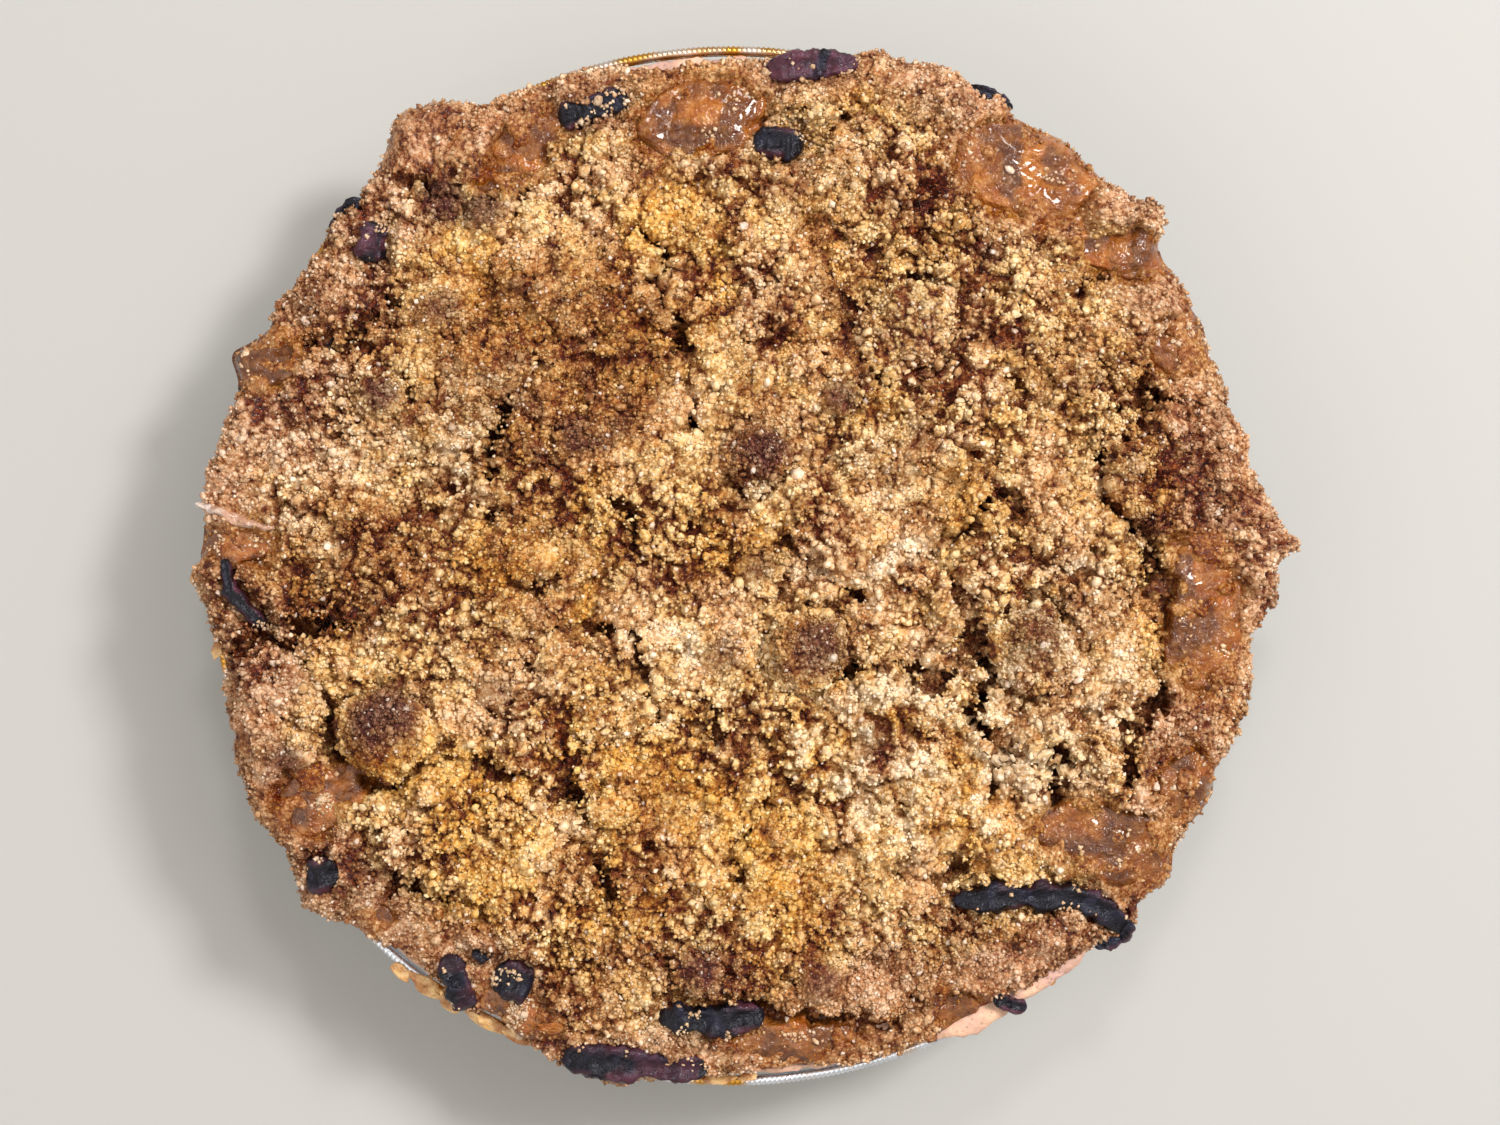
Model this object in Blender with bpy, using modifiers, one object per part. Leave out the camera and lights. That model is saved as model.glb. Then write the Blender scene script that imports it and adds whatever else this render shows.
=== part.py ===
"""A fruit crumble pie in its foil tin.

A pressed foil tin holds a pastry case, the fruit filling fills the case, and the crumble lies on the
filling and mounds over the rim. Syrup and scorched fruit slices sit in the crumble, and the largest
clumps of topping are part of it.
The origin is the middle of the tin's base, on the table, with +Z up.
All sizes below are in millimetres, and MM turns them into metres where a mesh is made.
"""

import math

import bmesh
import bpy
import numpy as np

MM = 0.001
GAP = 0.35  # air between pieces that touch

# Foil tin: a nine inch deep tin with a rolled bead
RIM_R = 122.0
BEAD_R = 1.2
TIN_BASE_R = 85.0
TIN_TOP_R = 111.0
TIN_DEPTH = 38.0
SHEET = 0.6
PLEATS = 24
PLEAT_DEPTH = 0.8
TIN_STEPS = 3 * PLEATS

# Pastry case
PASTRY = 3.0
CASE_EDGE_R = 119.0
CASE_TOP = 41.8
CASE_WAVE = 0.3
CASE_STEPS = 48
FILLING_TOP = 38.9
OPEN_EDGE = (304.0, 15.0, 4.0)  # bearing, half width in degrees, and reach of the bare pastry past the rim

# Crumble: the mound's height, the roll of its edge and the size of its lumps
MOUND_TOP = 51.0
MOUND_EDGE = 45.8
MOUND_R = 118.0
ROLL = 7.0
LIP = 3.5
CRUMBLE_STEPS = 240
CRUMBLE_RINGS = 62
CRUMBLE_TRIANGLES = 3150
LUMP_PITCH = 10.5
LUMP_R = (4.5, 8.0)
LUMP_RISE = (1.0, 3.0)
LOOSE_CLUMPS = 20
LOOSE_R = (2.6, 4.2)
SEED = 7

# Outline, seen from above: bearing in degrees, half width in degrees, reach past the rim
OUTLINE = (
    (2.3, 1.2, 4.0), (2.8, 6.5, 6.6), (14.5, 2.0, 1.3), (30.0, 5.0, 1.4), (39.5, 2.6, 8.0),
    (43.0, 3.0, 2.5), (51.0, 6.0, 3.8), (59.6, 1.3, 3.2), (67.0, 5.0, 4.6), (74.0, 2.0, 3.5),
    (94.0, 14.0, -5.0), (121.5, 2.0, 2.0), (126.0, 4.5, 8.6), (145.0, 3.0, -1.6),
    (152.0, 1.2, -1.2), (157.0, 1.8, 3.8), (172.0, 4.5, 1.9), (181.0, 2.5, 3.2),
    (191.0, 4.0, -1.6), (206.5, 5.0, 3.6), (218.5, 3.5, 5.2), (234.0, 5.0, -4.6),
    (243.0, 3.0, -5.0), (256.0, 4.0, 3.0), (275.0, 9.0, -5.0), (299.0, 9.0, -4.0),
    (317.5, 3.2, 4.0), (324.0, 2.5, 3.6), (334.0, 2.5, 2.2), (342.0, 3.0, 2.8),
    (346.5, 2.5, 2.6), (356.0, 2.5, 3.4),
)

# Raised plates of crumble: x, y, half length, half width, turn in degrees, lift
PLATES = (
    (75, -14, 42, 25, 118, 3.2), (103, 21, 17, 14, 60, 1.8), (80, 45, 17, 9, 0, 2.0),
    (-92, 1, 24, 16, 0, 2.4), (-104, -33, 13, 14, 0, 2.0), (-61, -65, 21, 15, 0, 2.4),
    (30, 84, 36, 12, 10, 1.8), (-66, 98, 15, 11, 20, 2.0), (93, 83, 11, 9, 0, 1.6),
    (36, -46, 29, 23, 150, 2.4), (-34, -30, 20, 12, 40, 2.2), (-9, -70, 22, 14, 0, 1.4),
    (24, 22, 32, 26, 0, 1.2), (-34, 56, 24, 18, 0, 1.0), (-38, 10, 20, 14, 30, 1.2),
)

# Cracks: half width, depth, and the points that they pass through
CRACKS = (
    (2.6, 7.0, ((-18, 76), (-17, 66), (-13, 58), (-10, 39), (-10, 32))),
    (2.2, 6.0, ((-31, 16), (-25, 15), (-23, 7))),
    (2.4, 6.0, ((-40, -16), (-26, -13), (-23, -19), (-18, -32))),
    (1.8, 4.5, ((-5, -31), (-2, -40))),
    (2.4, 5.5, ((11, 6), (22, -4), (30, -9))),
    (1.8, 4.0, ((16, -28), (33, -24), (49, -25))),
    (2.6, 6.0, ((47, 5), (55, 10), (63, 17))),
    (2.6, 6.5, ((50, 1), (55, -10), (60, -28), (59, -34), (63, -45), (61, -53))),
    (3.0, 8.0, ((85, 28), (90, 13), (97, 3), (100, -5), (100, -16), (97, -31), (92, -40), (91, -50))),
    (2.4, 6.0, ((90, 38), (97, 39), (107, 35))),
    (2.4, 6.5, ((72, -38), (77, -46), (71, -48), (77, -55))),
    (2.4, 6.0, ((36, -73), (51, -69))),
    (2.4, 5.0, ((9, -41), (15, -50), (7, -57), (2, -66), (2, -73))),
    (2.0, 5.0, ((-37, -52), (-36, -64), (-28, -74))),
    (3.0, 7.0, ((-113, -18), (-101, -19), (-94, -29), (-90, -41))),
    (2.4, 5.5, ((-101, -17), (-92, -12))),
    (2.2, 5.5, ((-50, -3), (-45, -6), (-40, -3))),
    (2.0, 5.0, ((-54, 38), (-53, 24), (-57, 9))),
    (2.2, 4.5, ((-99, 51), (-87, 55), (-76, 60))),
    (2.6, 6.0, ((-78, -75), (-62, -77))),
    (2.6, 5.0, ((-83, -51), (-59, -45), (-54, -47))),
    (2.6, 7.0, ((5, 103), (16, 105), (25, 105))),
    (2.4, 5.0, ((28, -104), (40, -105), (47, -101))),
)

# Syrup pools: x, y, half length, half width, turn in degrees
POOLS = (
    (-109.5, 47.3, 8.2, 5.3, 10), (-115.5, 6.0, 8.0, 5.2, 0), (-95.0, -54.0, 11.5, 6.0, 30),
    (15.0, -110.0, 12.0, 5.2, 8), (88.5, -64.5, 15.5, 7.6, -14), (106.0, -51.0, 6.4, 5.6, 60),
    (109.0, -11.5, 15.0, 9.0, 90), (104.0, 51.8, 7.0, 6.0, 0), (68.0, 92.5, 14.5, 9.2, -18),
    (91.5, 73.0, 10.0, 4.8, -10), (-6.5, 104.0, 13.0, 7.2, 12), (-49.0, -104.0, 8.4, 4.2, -25),
)
POOL_RISE = 1.0
POOL_DEPTH = 3.4
POOL_SINK = 0.8

# Scorched fruit slices, standing on edge: width, height, and the points along the slice
SLICES = (
    (3.2, 7.0, ((-117.5, 2.0), (-116.0, -6.0), (-107.5, -14.5))),
    (7.6, 6.5, ((-66.0, -90.0), (-61.0, -103.5))),
    (9.0, 6.5, ((-55.0, -94.5), (-46.0, -97.5))),
    (7.4, 6.0, ((-40.0, -114.0), (-23.0, -116.0), (-5.0, -117.0))),
    (6.8, 7.0, ((-17.0, -104.5), (-4.0, -105.5), (8.0, -104.0))),
    (6.2, 8.0, ((51.0, -77.5), (66.0, -76.5), (79.0, -76.5), (87.0, -79.8), (92.5, -85.5))),
    (5.6, 6.0, ((8.0, 115.0), (19.0, 116.5), (30.0, 117.0))),
    (7.2, 7.0, ((5.0, 98.5), (17.0, 97.5))),
    (6.2, 6.0, ((-40.0, 103.5), (-32.0, 106.0), (-24.0, 109.5))),
    (6.5, 6.0, ((-84.5, 70.5), (-82.0, 80.0))),
    (8.0, 5.0, ((-99.0, -72.0), (-91.0, -71.5))),
)
SLICE_PROUD = 0.3  # share of a slice's height that stands above its middle line

# Large round clumps of topping: x, y, radius
CLUMPS = (
    (5.6, 24.4, 7.0), (17.6, -19.2, 8.6), (-80.3, -38.5, 10.6), (69.5, -19.0, 9.6),
    (41.0, 55.5, 11.0), (-27.6, -55.5, 5.0), (-80.5, 39.5, 5.2), (-46.5, 71.0, 4.2),
)
CLUMP_FLATNESS = 0.62
CLUMP_ROUGHNESS = 0.12

FOIL = (0.78, 0.80, 0.83, 1.0)
PASTRY_COLOUR = (0.60, 0.36, 0.20, 1.0)
CRUMBLE_COLOUR = (0.55, 0.32, 0.13, 1.0)
SYRUP = (0.36, 0.13, 0.03, 1.0)
FRUIT = (0.45, 0.24, 0.08, 1.0)
CHAR = (0.03, 0.022, 0.035, 1.0)


def clear_scene():
    for obj in list(bpy.data.objects):
        bpy.data.objects.remove(obj)


def new_collection(name):
    collection = bpy.data.collections.new(name)
    bpy.context.scene.collection.children.link(collection)
    return collection


def material(name, colour, roughness, metallic=0.0):
    made = bpy.data.materials.new(name)
    made.use_nodes = True
    shader = made.node_tree.nodes["Principled BSDF"]
    shader.inputs["Base Color"].default_value = colour
    shader.inputs["Roughness"].default_value = roughness
    shader.inputs["Metallic"].default_value = metallic
    return made


def linked(name, mesh, collection):
    obj = bpy.data.objects.new(name, mesh)
    collection.objects.link(obj)
    return obj


def apply_modifiers(obj):
    bpy.context.view_layer.update()
    evaluated = obj.evaluated_get(bpy.context.evaluated_depsgraph_get())
    mesh = bpy.data.meshes.new_from_object(evaluated)
    obj.modifiers.clear()
    obj.data = mesh


def read_points(obj):
    points = np.empty(len(obj.data.vertices) * 3, np.float64)
    obj.data.vertices.foreach_get("co", points)
    return points.reshape(-1, 3) / MM


def write_points(obj, points):
    obj.data.vertices.foreach_set("co", (points * MM).ravel())
    obj.data.update()


def finish(obj, made, sharp_angle=50):
    obj.data.materials.clear()
    obj.data.materials.append(made)
    obj.data.shade_smooth()
    obj.data.set_sharp_from_angle(angle=math.radians(sharp_angle))


def turned(name, profile, steps, collection, closed=False):
    """The profile of (radius, height) turned about Z, as a mesh."""
    count = len(profile)
    edges = [(i, i + 1) for i in range(count - 1)] + [(count - 1, 0)] * closed
    mesh = bpy.data.meshes.new(name)
    mesh.from_pydata([(r * MM, 0, z * MM) for r, z in profile], edges, [])
    obj = linked(name, mesh, collection)
    screw = obj.modifiers.new("turn", "SCREW")
    screw.steps = screw.render_steps = steps
    screw.use_merge_vertices = True
    screw.merge_threshold = 1e-6
    apply_modifiers(obj)
    return obj


def combine(obj, collection, operation):
    """Add a collection's objects to this one, or take them away."""
    boolean = obj.modifiers.new(operation, "BOOLEAN")
    boolean.operation = operation
    boolean.operand_type = "COLLECTION"
    boolean.collection = collection
    boolean.solver = "MANIFOLD"
    apply_modifiers(obj)


def cut(obj, collection):
    combine(obj, collection, "DIFFERENCE")
    keep_largest_body(obj)


def keep_largest_body(obj):
    shape = bmesh.new()
    shape.from_mesh(obj.data)
    left = set(shape.faces)
    bodies = []
    while left:
        body, edge = set(), {left.pop()}
        while edge:
            body |= edge
            edge = {g for f in edge for e in f.edges for g in e.link_faces} - body
        left -= body
        bodies.append(body)
    largest = max(bodies, key=lambda body: sum(f.calc_area() for f in body))
    scraps = [f for body in bodies if body is not largest for f in body]
    bmesh.ops.delete(shape, geom=scraps, context="FACES")
    shape.to_mesh(obj.data)
    shape.free()


# ---------------------------------------------------------------- the forms


def bell(distance, reach):
    return np.exp(-((distance / reach) ** 2))


def ease(x):
    x = np.clip(x, 0.0, 1.0)
    return x * x * (3 - 2 * x)


def turn_between(angle, bearing):
    """Degrees from a bearing to an angle in radians, between -180 and 180."""
    return (np.degrees(angle) - bearing + 180) % 360 - 180


def outline(angle):
    """How far the crumble reaches from the middle at an angle."""
    reach = np.full(np.shape(angle), RIM_R)
    for bearing, half_width, past in OUTLINE:
        reach = reach + past * bell(turn_between(angle, bearing), half_width)
    return reach + 0.5 * np.sin(41 * angle) * np.sin(17 * angle + 1)


def edge_height(reach):
    """The height of the crumble's edge: on the pastry where it is short, hanging over the bead where it is long."""
    return np.interp(reach, (118.5, 124.0, 132.0), (43.4, 40.4, 38.6))


def oval_distance(x, y, oval):
    """0 at the middle of an oval and 1 on its edge."""
    cx, cy, half_length, half_width, turn = oval[:5]
    c, s = math.cos(math.radians(turn)), math.sin(math.radians(turn))
    along = ((x - cx) * c + (y - cy) * s) / half_length
    across = ((y - cy) * c - (x - cx) * s) / half_width
    return np.hypot(along, across)


def line_distance(x, y, points):
    best = np.full(np.shape(x), 1e9)
    for (ax, ay), (bx, by) in zip(points, points[1:]):
        dx, dy = bx - ax, by - ay
        t = np.clip(((x - ax) * dx + (y - ay) * dy) / (dx * dx + dy * dy), 0, 1)
        best = np.minimum(best, np.hypot(x - ax - t * dx, y - ay - t * dy))
    return best


def mound(x, y):
    """The crumble's height without lumps, plates or cracks, rolling down at its edge."""
    r, reach = np.hypot(x, y), outline(np.arctan2(y, x))
    dome = MOUND_EDGE + (MOUND_TOP - MOUND_EDGE) * (1 - np.clip(r / MOUND_R, 0, 1) ** 2.4)
    rolled = np.clip((r - reach + ROLL) / ROLL, 0, 1)
    low = edge_height(reach)
    return low + (dome - low) * np.sqrt(1 - rolled**2)


def lumps(x, y):
    """Round lumps on a jittered grid."""
    rng = np.random.default_rng(SEED)
    side = int(2 * 135 / LUMP_PITCH)
    rise = np.zeros(np.shape(x))
    for i in range(side * side):
        cx, cy = LUMP_PITCH * (np.array(divmod(i, side)) - side / 2 + rng.uniform(-0.45, 0.45, 2))
        radius, height = rng.uniform(*LUMP_R), rng.uniform(*LUMP_RISE)
        near = np.clip(1 - ((x - cx) ** 2 + (y - cy) ** 2) / radius**2, 0, None)
        rise = np.maximum(rise, height * np.sqrt(near))
    return rise


def relief(x, y):
    """What plates, lumps and cracks add to the mound, with hollows for the syrup and the slices."""
    added = lumps(x, y)
    for plate in PLATES:
        added = added + plate[5] * ease(5 * (1.05 - oval_distance(x, y, plate)))
    for half_width, depth, points in CRACKS:
        added = added - depth * bell(line_distance(x, y, points), half_width)
    for pool in POOLS:
        added = added + (-1.5 - added) * ease(4 * (1.2 - oval_distance(x, y, pool)))
    for width, _, points in SLICES:
        away = line_distance(x, y, points) - width / 2
        added = added + (-0.8 - added) * ease((4 - away) / 3)
    return added


# ---------------------------------------------------------------- the pieces


def tin_profile():
    bead_r, bead_z = RIM_R - BEAD_R, TIN_DEPTH + SHEET / 2
    bead = [
        (bead_r + BEAD_R * math.cos(math.radians(a)), bead_z + BEAD_R * math.sin(math.radians(a)))
        for a in range(150, -151, -75)
    ]
    inside = [
        (0, SHEET),
        (TIN_BASE_R - 1.5, SHEET),
        (TIN_BASE_R + 0.6, SHEET + 1.6),
        (TIN_TOP_R - 0.9, TIN_DEPTH - 1.0),
        (TIN_TOP_R + 0.8, TIN_DEPTH + SHEET),
    ]
    outside = [
        (TIN_TOP_R + 1.2, TIN_DEPTH),
        (TIN_TOP_R - 0.1, TIN_DEPTH - 1.0),
        (TIN_BASE_R + 1.3, SHEET + 1.2),
        (TIN_BASE_R - 0.9, 0),
        (0, 0),
    ]
    return inside + bead + outside


def foil_tin(collection):
    tin = turned("foil_tin", tin_profile(), TIN_STEPS, collection)
    points = read_points(tin)
    x, y, z = points.T
    r, angle = np.hypot(x, y), np.arctan2(y, x)
    wall = (z > SHEET) & (r < TIN_TOP_R + 1)
    moved = 1 + wall * PLEAT_DEPTH * np.cos(PLEATS * angle) * (z / TIN_DEPTH) / np.maximum(r, 1)
    write_points(tin, np.column_stack((x * moved, y * moved, z)))
    return tin


def case_profile():
    wall_top = TIN_TOP_R - 0.9 - GAP - PLEAT_DEPTH
    return [
        (0, SHEET + GAP + PASTRY),
        (TIN_BASE_R - 2 - PASTRY, SHEET + GAP + PASTRY),
        (wall_top - PASTRY, TIN_DEPTH + 1.5),
        (wall_top - PASTRY + 2.2, CASE_TOP),
        (CASE_EDGE_R - 2.0, CASE_TOP),
        (CASE_EDGE_R, CASE_TOP - 1.1),
        (CASE_EDGE_R - 0.3, TIN_DEPTH + 1.4),
        (wall_top + 1.6, TIN_DEPTH + 1.0),
        (wall_top, TIN_DEPTH - 0.8),
        (TIN_BASE_R - 0.3, SHEET + 1.9),
        (TIN_BASE_R - 2, SHEET + GAP),
        (0, SHEET + GAP),
    ]


def pastry_case(collection):
    """The case's rim waves a little, and on one side it runs bare over the bead."""
    case = turned("pastry_case", case_profile(), CASE_STEPS, collection)
    points = read_points(case)
    x, y, z = points.T
    r, angle = np.hypot(x, y), np.arctan2(y, x)
    bearing, half_width, past = OPEN_EDGE
    bare = ease(1.6 * (1 - np.abs(turn_between(angle, bearing)) / half_width))
    outer = r > CASE_EDGE_R - 2.5
    wave = CASE_WAVE * np.sin(9 * angle) * np.sin(5 * angle + 2)
    moved = 1 + outer * (past * bare + wave) / np.maximum(r, 1)
    lifted = z + (z > CASE_TOP - 1.5) * wave + outer * bare * np.where(z < CASE_TOP - 1.5, 0.7, 0.9)
    write_points(case, np.column_stack((x * moved, y * moved, lifted)))
    return case


def filling(collection):
    """The fruit, level with the case's rim."""
    slope = (TIN_TOP_R - 0.9 - PLEAT_DEPTH - TIN_BASE_R + 2) / (TIN_DEPTH + 1.5 - SHEET - PASTRY)
    floor_r = TIN_BASE_R - 2 - PASTRY - GAP
    low = SHEET + 2 * GAP + PASTRY
    top_r = floor_r + slope * (FILLING_TOP - low) - GAP
    return turned("filling", [(0, FILLING_TOP), (top_r, FILLING_TOP), (floor_r, low), (0, low)], CASE_STEPS, collection)


def case_space(collection):
    """A ring that holds the tin, the pastry and the air round them, for cutting what lies on them."""
    inner = TIN_TOP_R - 0.9 - PLEAT_DEPTH - PASTRY - 2 * GAP
    slope = (inner - (TIN_BASE_R - 2 - PASTRY - GAP)) / (TIN_DEPTH + 1.5 - (SHEET + GAP + PASTRY))
    low, top = -3.0, CASE_TOP + CASE_WAVE + GAP
    profile = [
        (150, 30),
        (150, low),
        (inner - slope * (TIN_DEPTH + 1.5 - low), low),
        (inner, TIN_DEPTH + 1.5),
        (inner + 1.9, top),
        (CASE_EDGE_R - 1.7, top),
        (CASE_EDGE_R + 0.7, CASE_TOP - 0.6),
        (CASE_EDGE_R + 0.9, TIN_DEPTH + 2.0),
        (RIM_R + 0.3, TIN_DEPTH + 1.8),
        (RIM_R + 0.9, TIN_DEPTH - 0.5),
    ]
    space = turned("case_space", profile, CASE_STEPS, collection, closed=True)
    points = read_points(space)
    x, y, z = points.T
    r, angle = np.hypot(x, y), np.arctan2(y, x)
    bearing, half_width, past = OPEN_EDGE
    bare = ease(1.6 * (1 - np.abs(turn_between(angle, bearing)) / (half_width + 2)))
    outer = (r > CASE_EDGE_R - 2) & (r < RIM_R + 2)
    moved = 1 + outer * bare * past / np.maximum(r, 1)
    lifted = z + (z > CASE_TOP - 1.5) * bare * 0.9
    write_points(space, np.column_stack((x * moved, y * moved, lifted)))
    return space


def ball(name, segments, rings, collection):
    """A ball in triangles, so that a piece and the space cut for it are split alike."""
    shape = bmesh.new()
    bmesh.ops.create_uvsphere(shape, u_segments=segments, v_segments=rings, radius=MM)
    bmesh.ops.triangulate(shape, faces=shape.faces)
    mesh = bpy.data.meshes.new(name)
    shape.to_mesh(mesh)
    shape.free()
    return linked(name, mesh, collection)


def syrup_pool(name, pool, collection, extra=0.0):
    """A ball pressed flat, drawn out to the pool's outline and laid along the mound, and extra larger."""
    cx, cy, half_length, half_width, turn = pool
    obj = ball(name, 12 if half_length > 8.5 else 9, 4, collection)
    x, y, z = read_points(obj).T
    spread = np.maximum(np.hypot(x, y), 1e-3) ** -0.3
    along, across = x * spread * half_length, y * spread * half_width
    c, s = math.cos(math.radians(turn)), math.sin(math.radians(turn))
    px, py = cx + along * c - across * s, cy + along * s + across * c
    pz = mound(px, py) - POOL_SINK + z * np.where(z > 0, POOL_RISE + extra, POOL_DEPTH + 4 * extra)
    grow = 1 + extra / half_width
    px, py = cx + grow * (px - cx), cy + grow * (py - cy)
    write_points(obj, np.column_stack((px, py, pz)))
    return obj


def along_path(path, share):
    """The point at a share of a path's length. Past its ends the path runs straight on."""
    path = np.array(path, float)
    path = np.vstack((2 * path[0] - path[1], path, 2 * path[-1] - path[-2]))
    walked = np.concatenate(([0], np.cumsum(np.hypot(*np.diff(path, axis=0).T))))
    stations = (walked - walked[1]) / (walked[-2] - walked[1])
    return np.array([np.interp(share, stations, path[:, 0]), np.interp(share, stations, path[:, 1])])


def fruit_slice(name, width, height, path, collection, extra=0.0):
    """A ball drawn out along the slice's path, with blunt ends, and extra larger."""
    obj = ball(name, 6, 3 + len(path), collection)
    x, y, z = read_points(obj).T
    share = (z + 1) / 2
    px, py = along_path(path, share)
    dx, dy = along_path(path, share + 0.12) - along_path(path, share - 0.12)
    run = np.hypot(dx, dy)
    blunt = np.maximum(np.hypot(x, y), 1e-3) ** -0.45
    side, up = x * blunt * (width / 2 + extra), y * blunt * (height / 2 + extra)
    middle = mound(px, py) - (0.5 - SLICE_PROUD) * height
    px, py = px + (extra * z * dx - side * dy) / run, py + (extra * z * dy + side * dx) / run
    write_points(obj, np.column_stack((px, py, middle + up)))
    return obj


def rough_ball(name, x, y, z, radius, flatness, roughness, rng, faces, collection):
    shape = bmesh.new()
    bmesh.ops.create_icosphere(shape, subdivisions=faces, radius=MM)
    mesh = bpy.data.meshes.new(name)
    shape.to_mesh(mesh)
    shape.free()
    obj = linked(name, mesh, collection)
    points = read_points(obj)
    points = points * radius * (1 + rng.uniform(-roughness, roughness, (len(points), 1)))
    write_points(obj, points * (1, 1, flatness) + (x, y, z))
    return obj


def crumble_body(collection):
    """A turned blank whose rings are drawn out to the outline and raised to the relief, then thinned."""
    blank_r, top_code = 120.0, 50.0
    rings = [(blank_r * i / CRUMBLE_RINGS, top_code) for i in range(CRUMBLE_RINGS + 1)]
    floor = FILLING_TOP + 2 * GAP
    under = [(blank_r - 1, 40.0), (107.0, floor), (0, floor)]
    body = turned("crumble", rings + under, CRUMBLE_STEPS, collection)
    x, y, z = read_points(body).T
    r, angle = np.hypot(x, y), np.arctan2(y, x)
    reach = outline(angle)
    on_top, lip = z > top_code - 1, abs(z - 40) < 0.01
    new_r = np.where(on_top, r / blank_r * reach, np.where(lip, reach - 2.5, r))
    px, py = new_r * np.cos(angle), new_r * np.sin(angle)
    inner = ease((reach - new_r) / ROLL)
    base = mound(px, py)
    height = base + relief(px, py) * (0.25 + 0.75 * inner) * ease((reach - new_r + 1) / 2)
    height = np.maximum(height, np.minimum(base, FILLING_TOP + 2.5))
    pz = np.where(on_top, height, np.where(lip, edge_height(reach) - LIP, z))
    write_points(body, np.column_stack((px, py, pz)))
    thin = body.modifiers.new("thin", "DECIMATE")
    thin.ratio = CRUMBLE_TRIANGLES / (2 * CRUMBLE_STEPS * (CRUMBLE_RINGS + 2))
    apply_modifiers(body)
    return body


def loose_clumps(collection):
    """The largest clumps where they lie, and smaller ones spread over the mound by a seeded draw."""
    rng = np.random.default_rng(SEED + 1)
    for i, (x, y, radius) in enumerate(CLUMPS):
        at = (np.array([x]), np.array([y]))
        z = float((mound(*at) + relief(*at))[0])
        rough_ball(f"clump_{i:02d}", x, y, z, radius, CLUMP_FLATNESS, CLUMP_ROUGHNESS, rng, 2, collection)
    for i in range(LOOSE_CLUMPS):
        turn = i * math.radians(137.5)
        out = 108 * math.sqrt((i + 0.5) / LOOSE_CLUMPS)
        x, y = out * math.cos(turn) + rng.uniform(-4, 4), out * math.sin(turn) + rng.uniform(-4, 4)
        radius = rng.uniform(*LOOSE_R)
        at = (np.array([x]), np.array([y]))
        z = float((mound(*at) + relief(*at))[0]) + 0.15 * radius
        rough_ball(f"loose_{i:02d}", x, y, z, radius, 0.8, 0.15, rng, 1, collection)


def join_all(obj, collection):
    combine(obj, collection, "UNION")
    for part in list(collection.objects):
        bpy.data.objects.remove(part)
    bpy.data.collections.remove(collection)


def hide_helpers(*collections):
    for collection in collections:
        for obj in collection.objects:
            obj.hide_render = True
            obj.display_type = "WIRE"


def main():
    clear_scene()
    pie = new_collection("crumble_pie")
    case_cutters = new_collection("case_cutters")
    food_cutters = new_collection("food_cutters")
    syrup_cutters = new_collection("syrup_cutters")
    loose = new_collection("loose_clumps")

    finish(foil_tin(pie), material("foil", FOIL, 0.28, 1.0))
    finish(pastry_case(pie), material("pastry", PASTRY_COLOUR, 0.6))
    finish(filling(pie), material("filling", FRUIT, 0.4))
    case_space(case_cutters)

    char = material("char", CHAR, 0.35)
    for i, (width, height, path) in enumerate(SLICES, 1):
        obj = fruit_slice(f"slice_{i:02d}", width, height, path, pie)
        fruit_slice(f"slice_{i:02d}_space", width, height, path, food_cutters, 2 * GAP)
        cut(obj, case_cutters)
        finish(obj, char)
    syrup = material("syrup", SYRUP, 0.08)
    for i, pool in enumerate(POOLS, 1):
        obj = syrup_pool(f"syrup_{i:02d}", pool, pie)
        syrup_pool(f"syrup_{i:02d}_space", pool, syrup_cutters, 1.6 * GAP)
        cut(obj, food_cutters)
        cut(obj, case_cutters)
        finish(obj, syrup)

    body = crumble_body(pie)
    loose_clumps(loose)
    join_all(body, loose)
    cut(body, case_cutters)
    cut(body, food_cutters)
    cut(body, syrup_cutters)
    finish(body, material("crumble", CRUMBLE_COLOUR, 0.85))
    hide_helpers(case_cutters, food_cutters, syrup_cutters)


main()
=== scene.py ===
"""The looks of a fruit crumble pie in its foil tin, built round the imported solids.

Sizes are in millimetres and bearings in degrees from +X, anticlockwise seen from above. MM turns sizes
into metres where a mesh is made. The forms repeat the named sizes of the solids that they replace.
"""

import math

import bmesh
import bpy
import numpy as np
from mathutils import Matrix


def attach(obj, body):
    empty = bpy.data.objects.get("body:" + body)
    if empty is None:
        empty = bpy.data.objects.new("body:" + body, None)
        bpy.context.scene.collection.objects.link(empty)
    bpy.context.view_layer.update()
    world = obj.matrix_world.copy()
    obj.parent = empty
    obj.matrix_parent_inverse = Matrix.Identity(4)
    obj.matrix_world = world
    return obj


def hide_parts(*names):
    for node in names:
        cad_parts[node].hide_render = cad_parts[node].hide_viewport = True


MM = 0.001
SEED, TABLE_ROWS = 7, 4096

# The solids' sizes
GAP = 0.35
RIM_R, BEAD_R = 122.0, 1.2
TIN_BASE_R, TIN_TOP_R, TIN_DEPTH = 85.0, 111.0, 38.0
SHEET, PLEATS, PLEAT_DEPTH = 0.6, 24, 0.8
RIM_TOP, WALL_RUN, WALL_RISE = TIN_DEPTH + SHEET, 25.6, 35.4
FLANGE_MIDDLE_R, FLANGE_R = 115.0, 118.8
PASTRY, CASE_EDGE_R, CASE_TOP, CASE_WAVE = 3.0, 119.0, 41.8, 0.3
OPEN_EDGE = (304.0, 15.0, 4.0)
MOUND_TOP, MOUND_EDGE, MOUND_R = 51.0, 45.8, 118.0
ROLL, LIP = 7.0, 3.5
LUMP_PITCH, LUMP_R, LUMP_RISE = 10.5, (4.5, 8.0), (1.0, 3.0)
FILLING_TOP = 38.9

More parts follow.
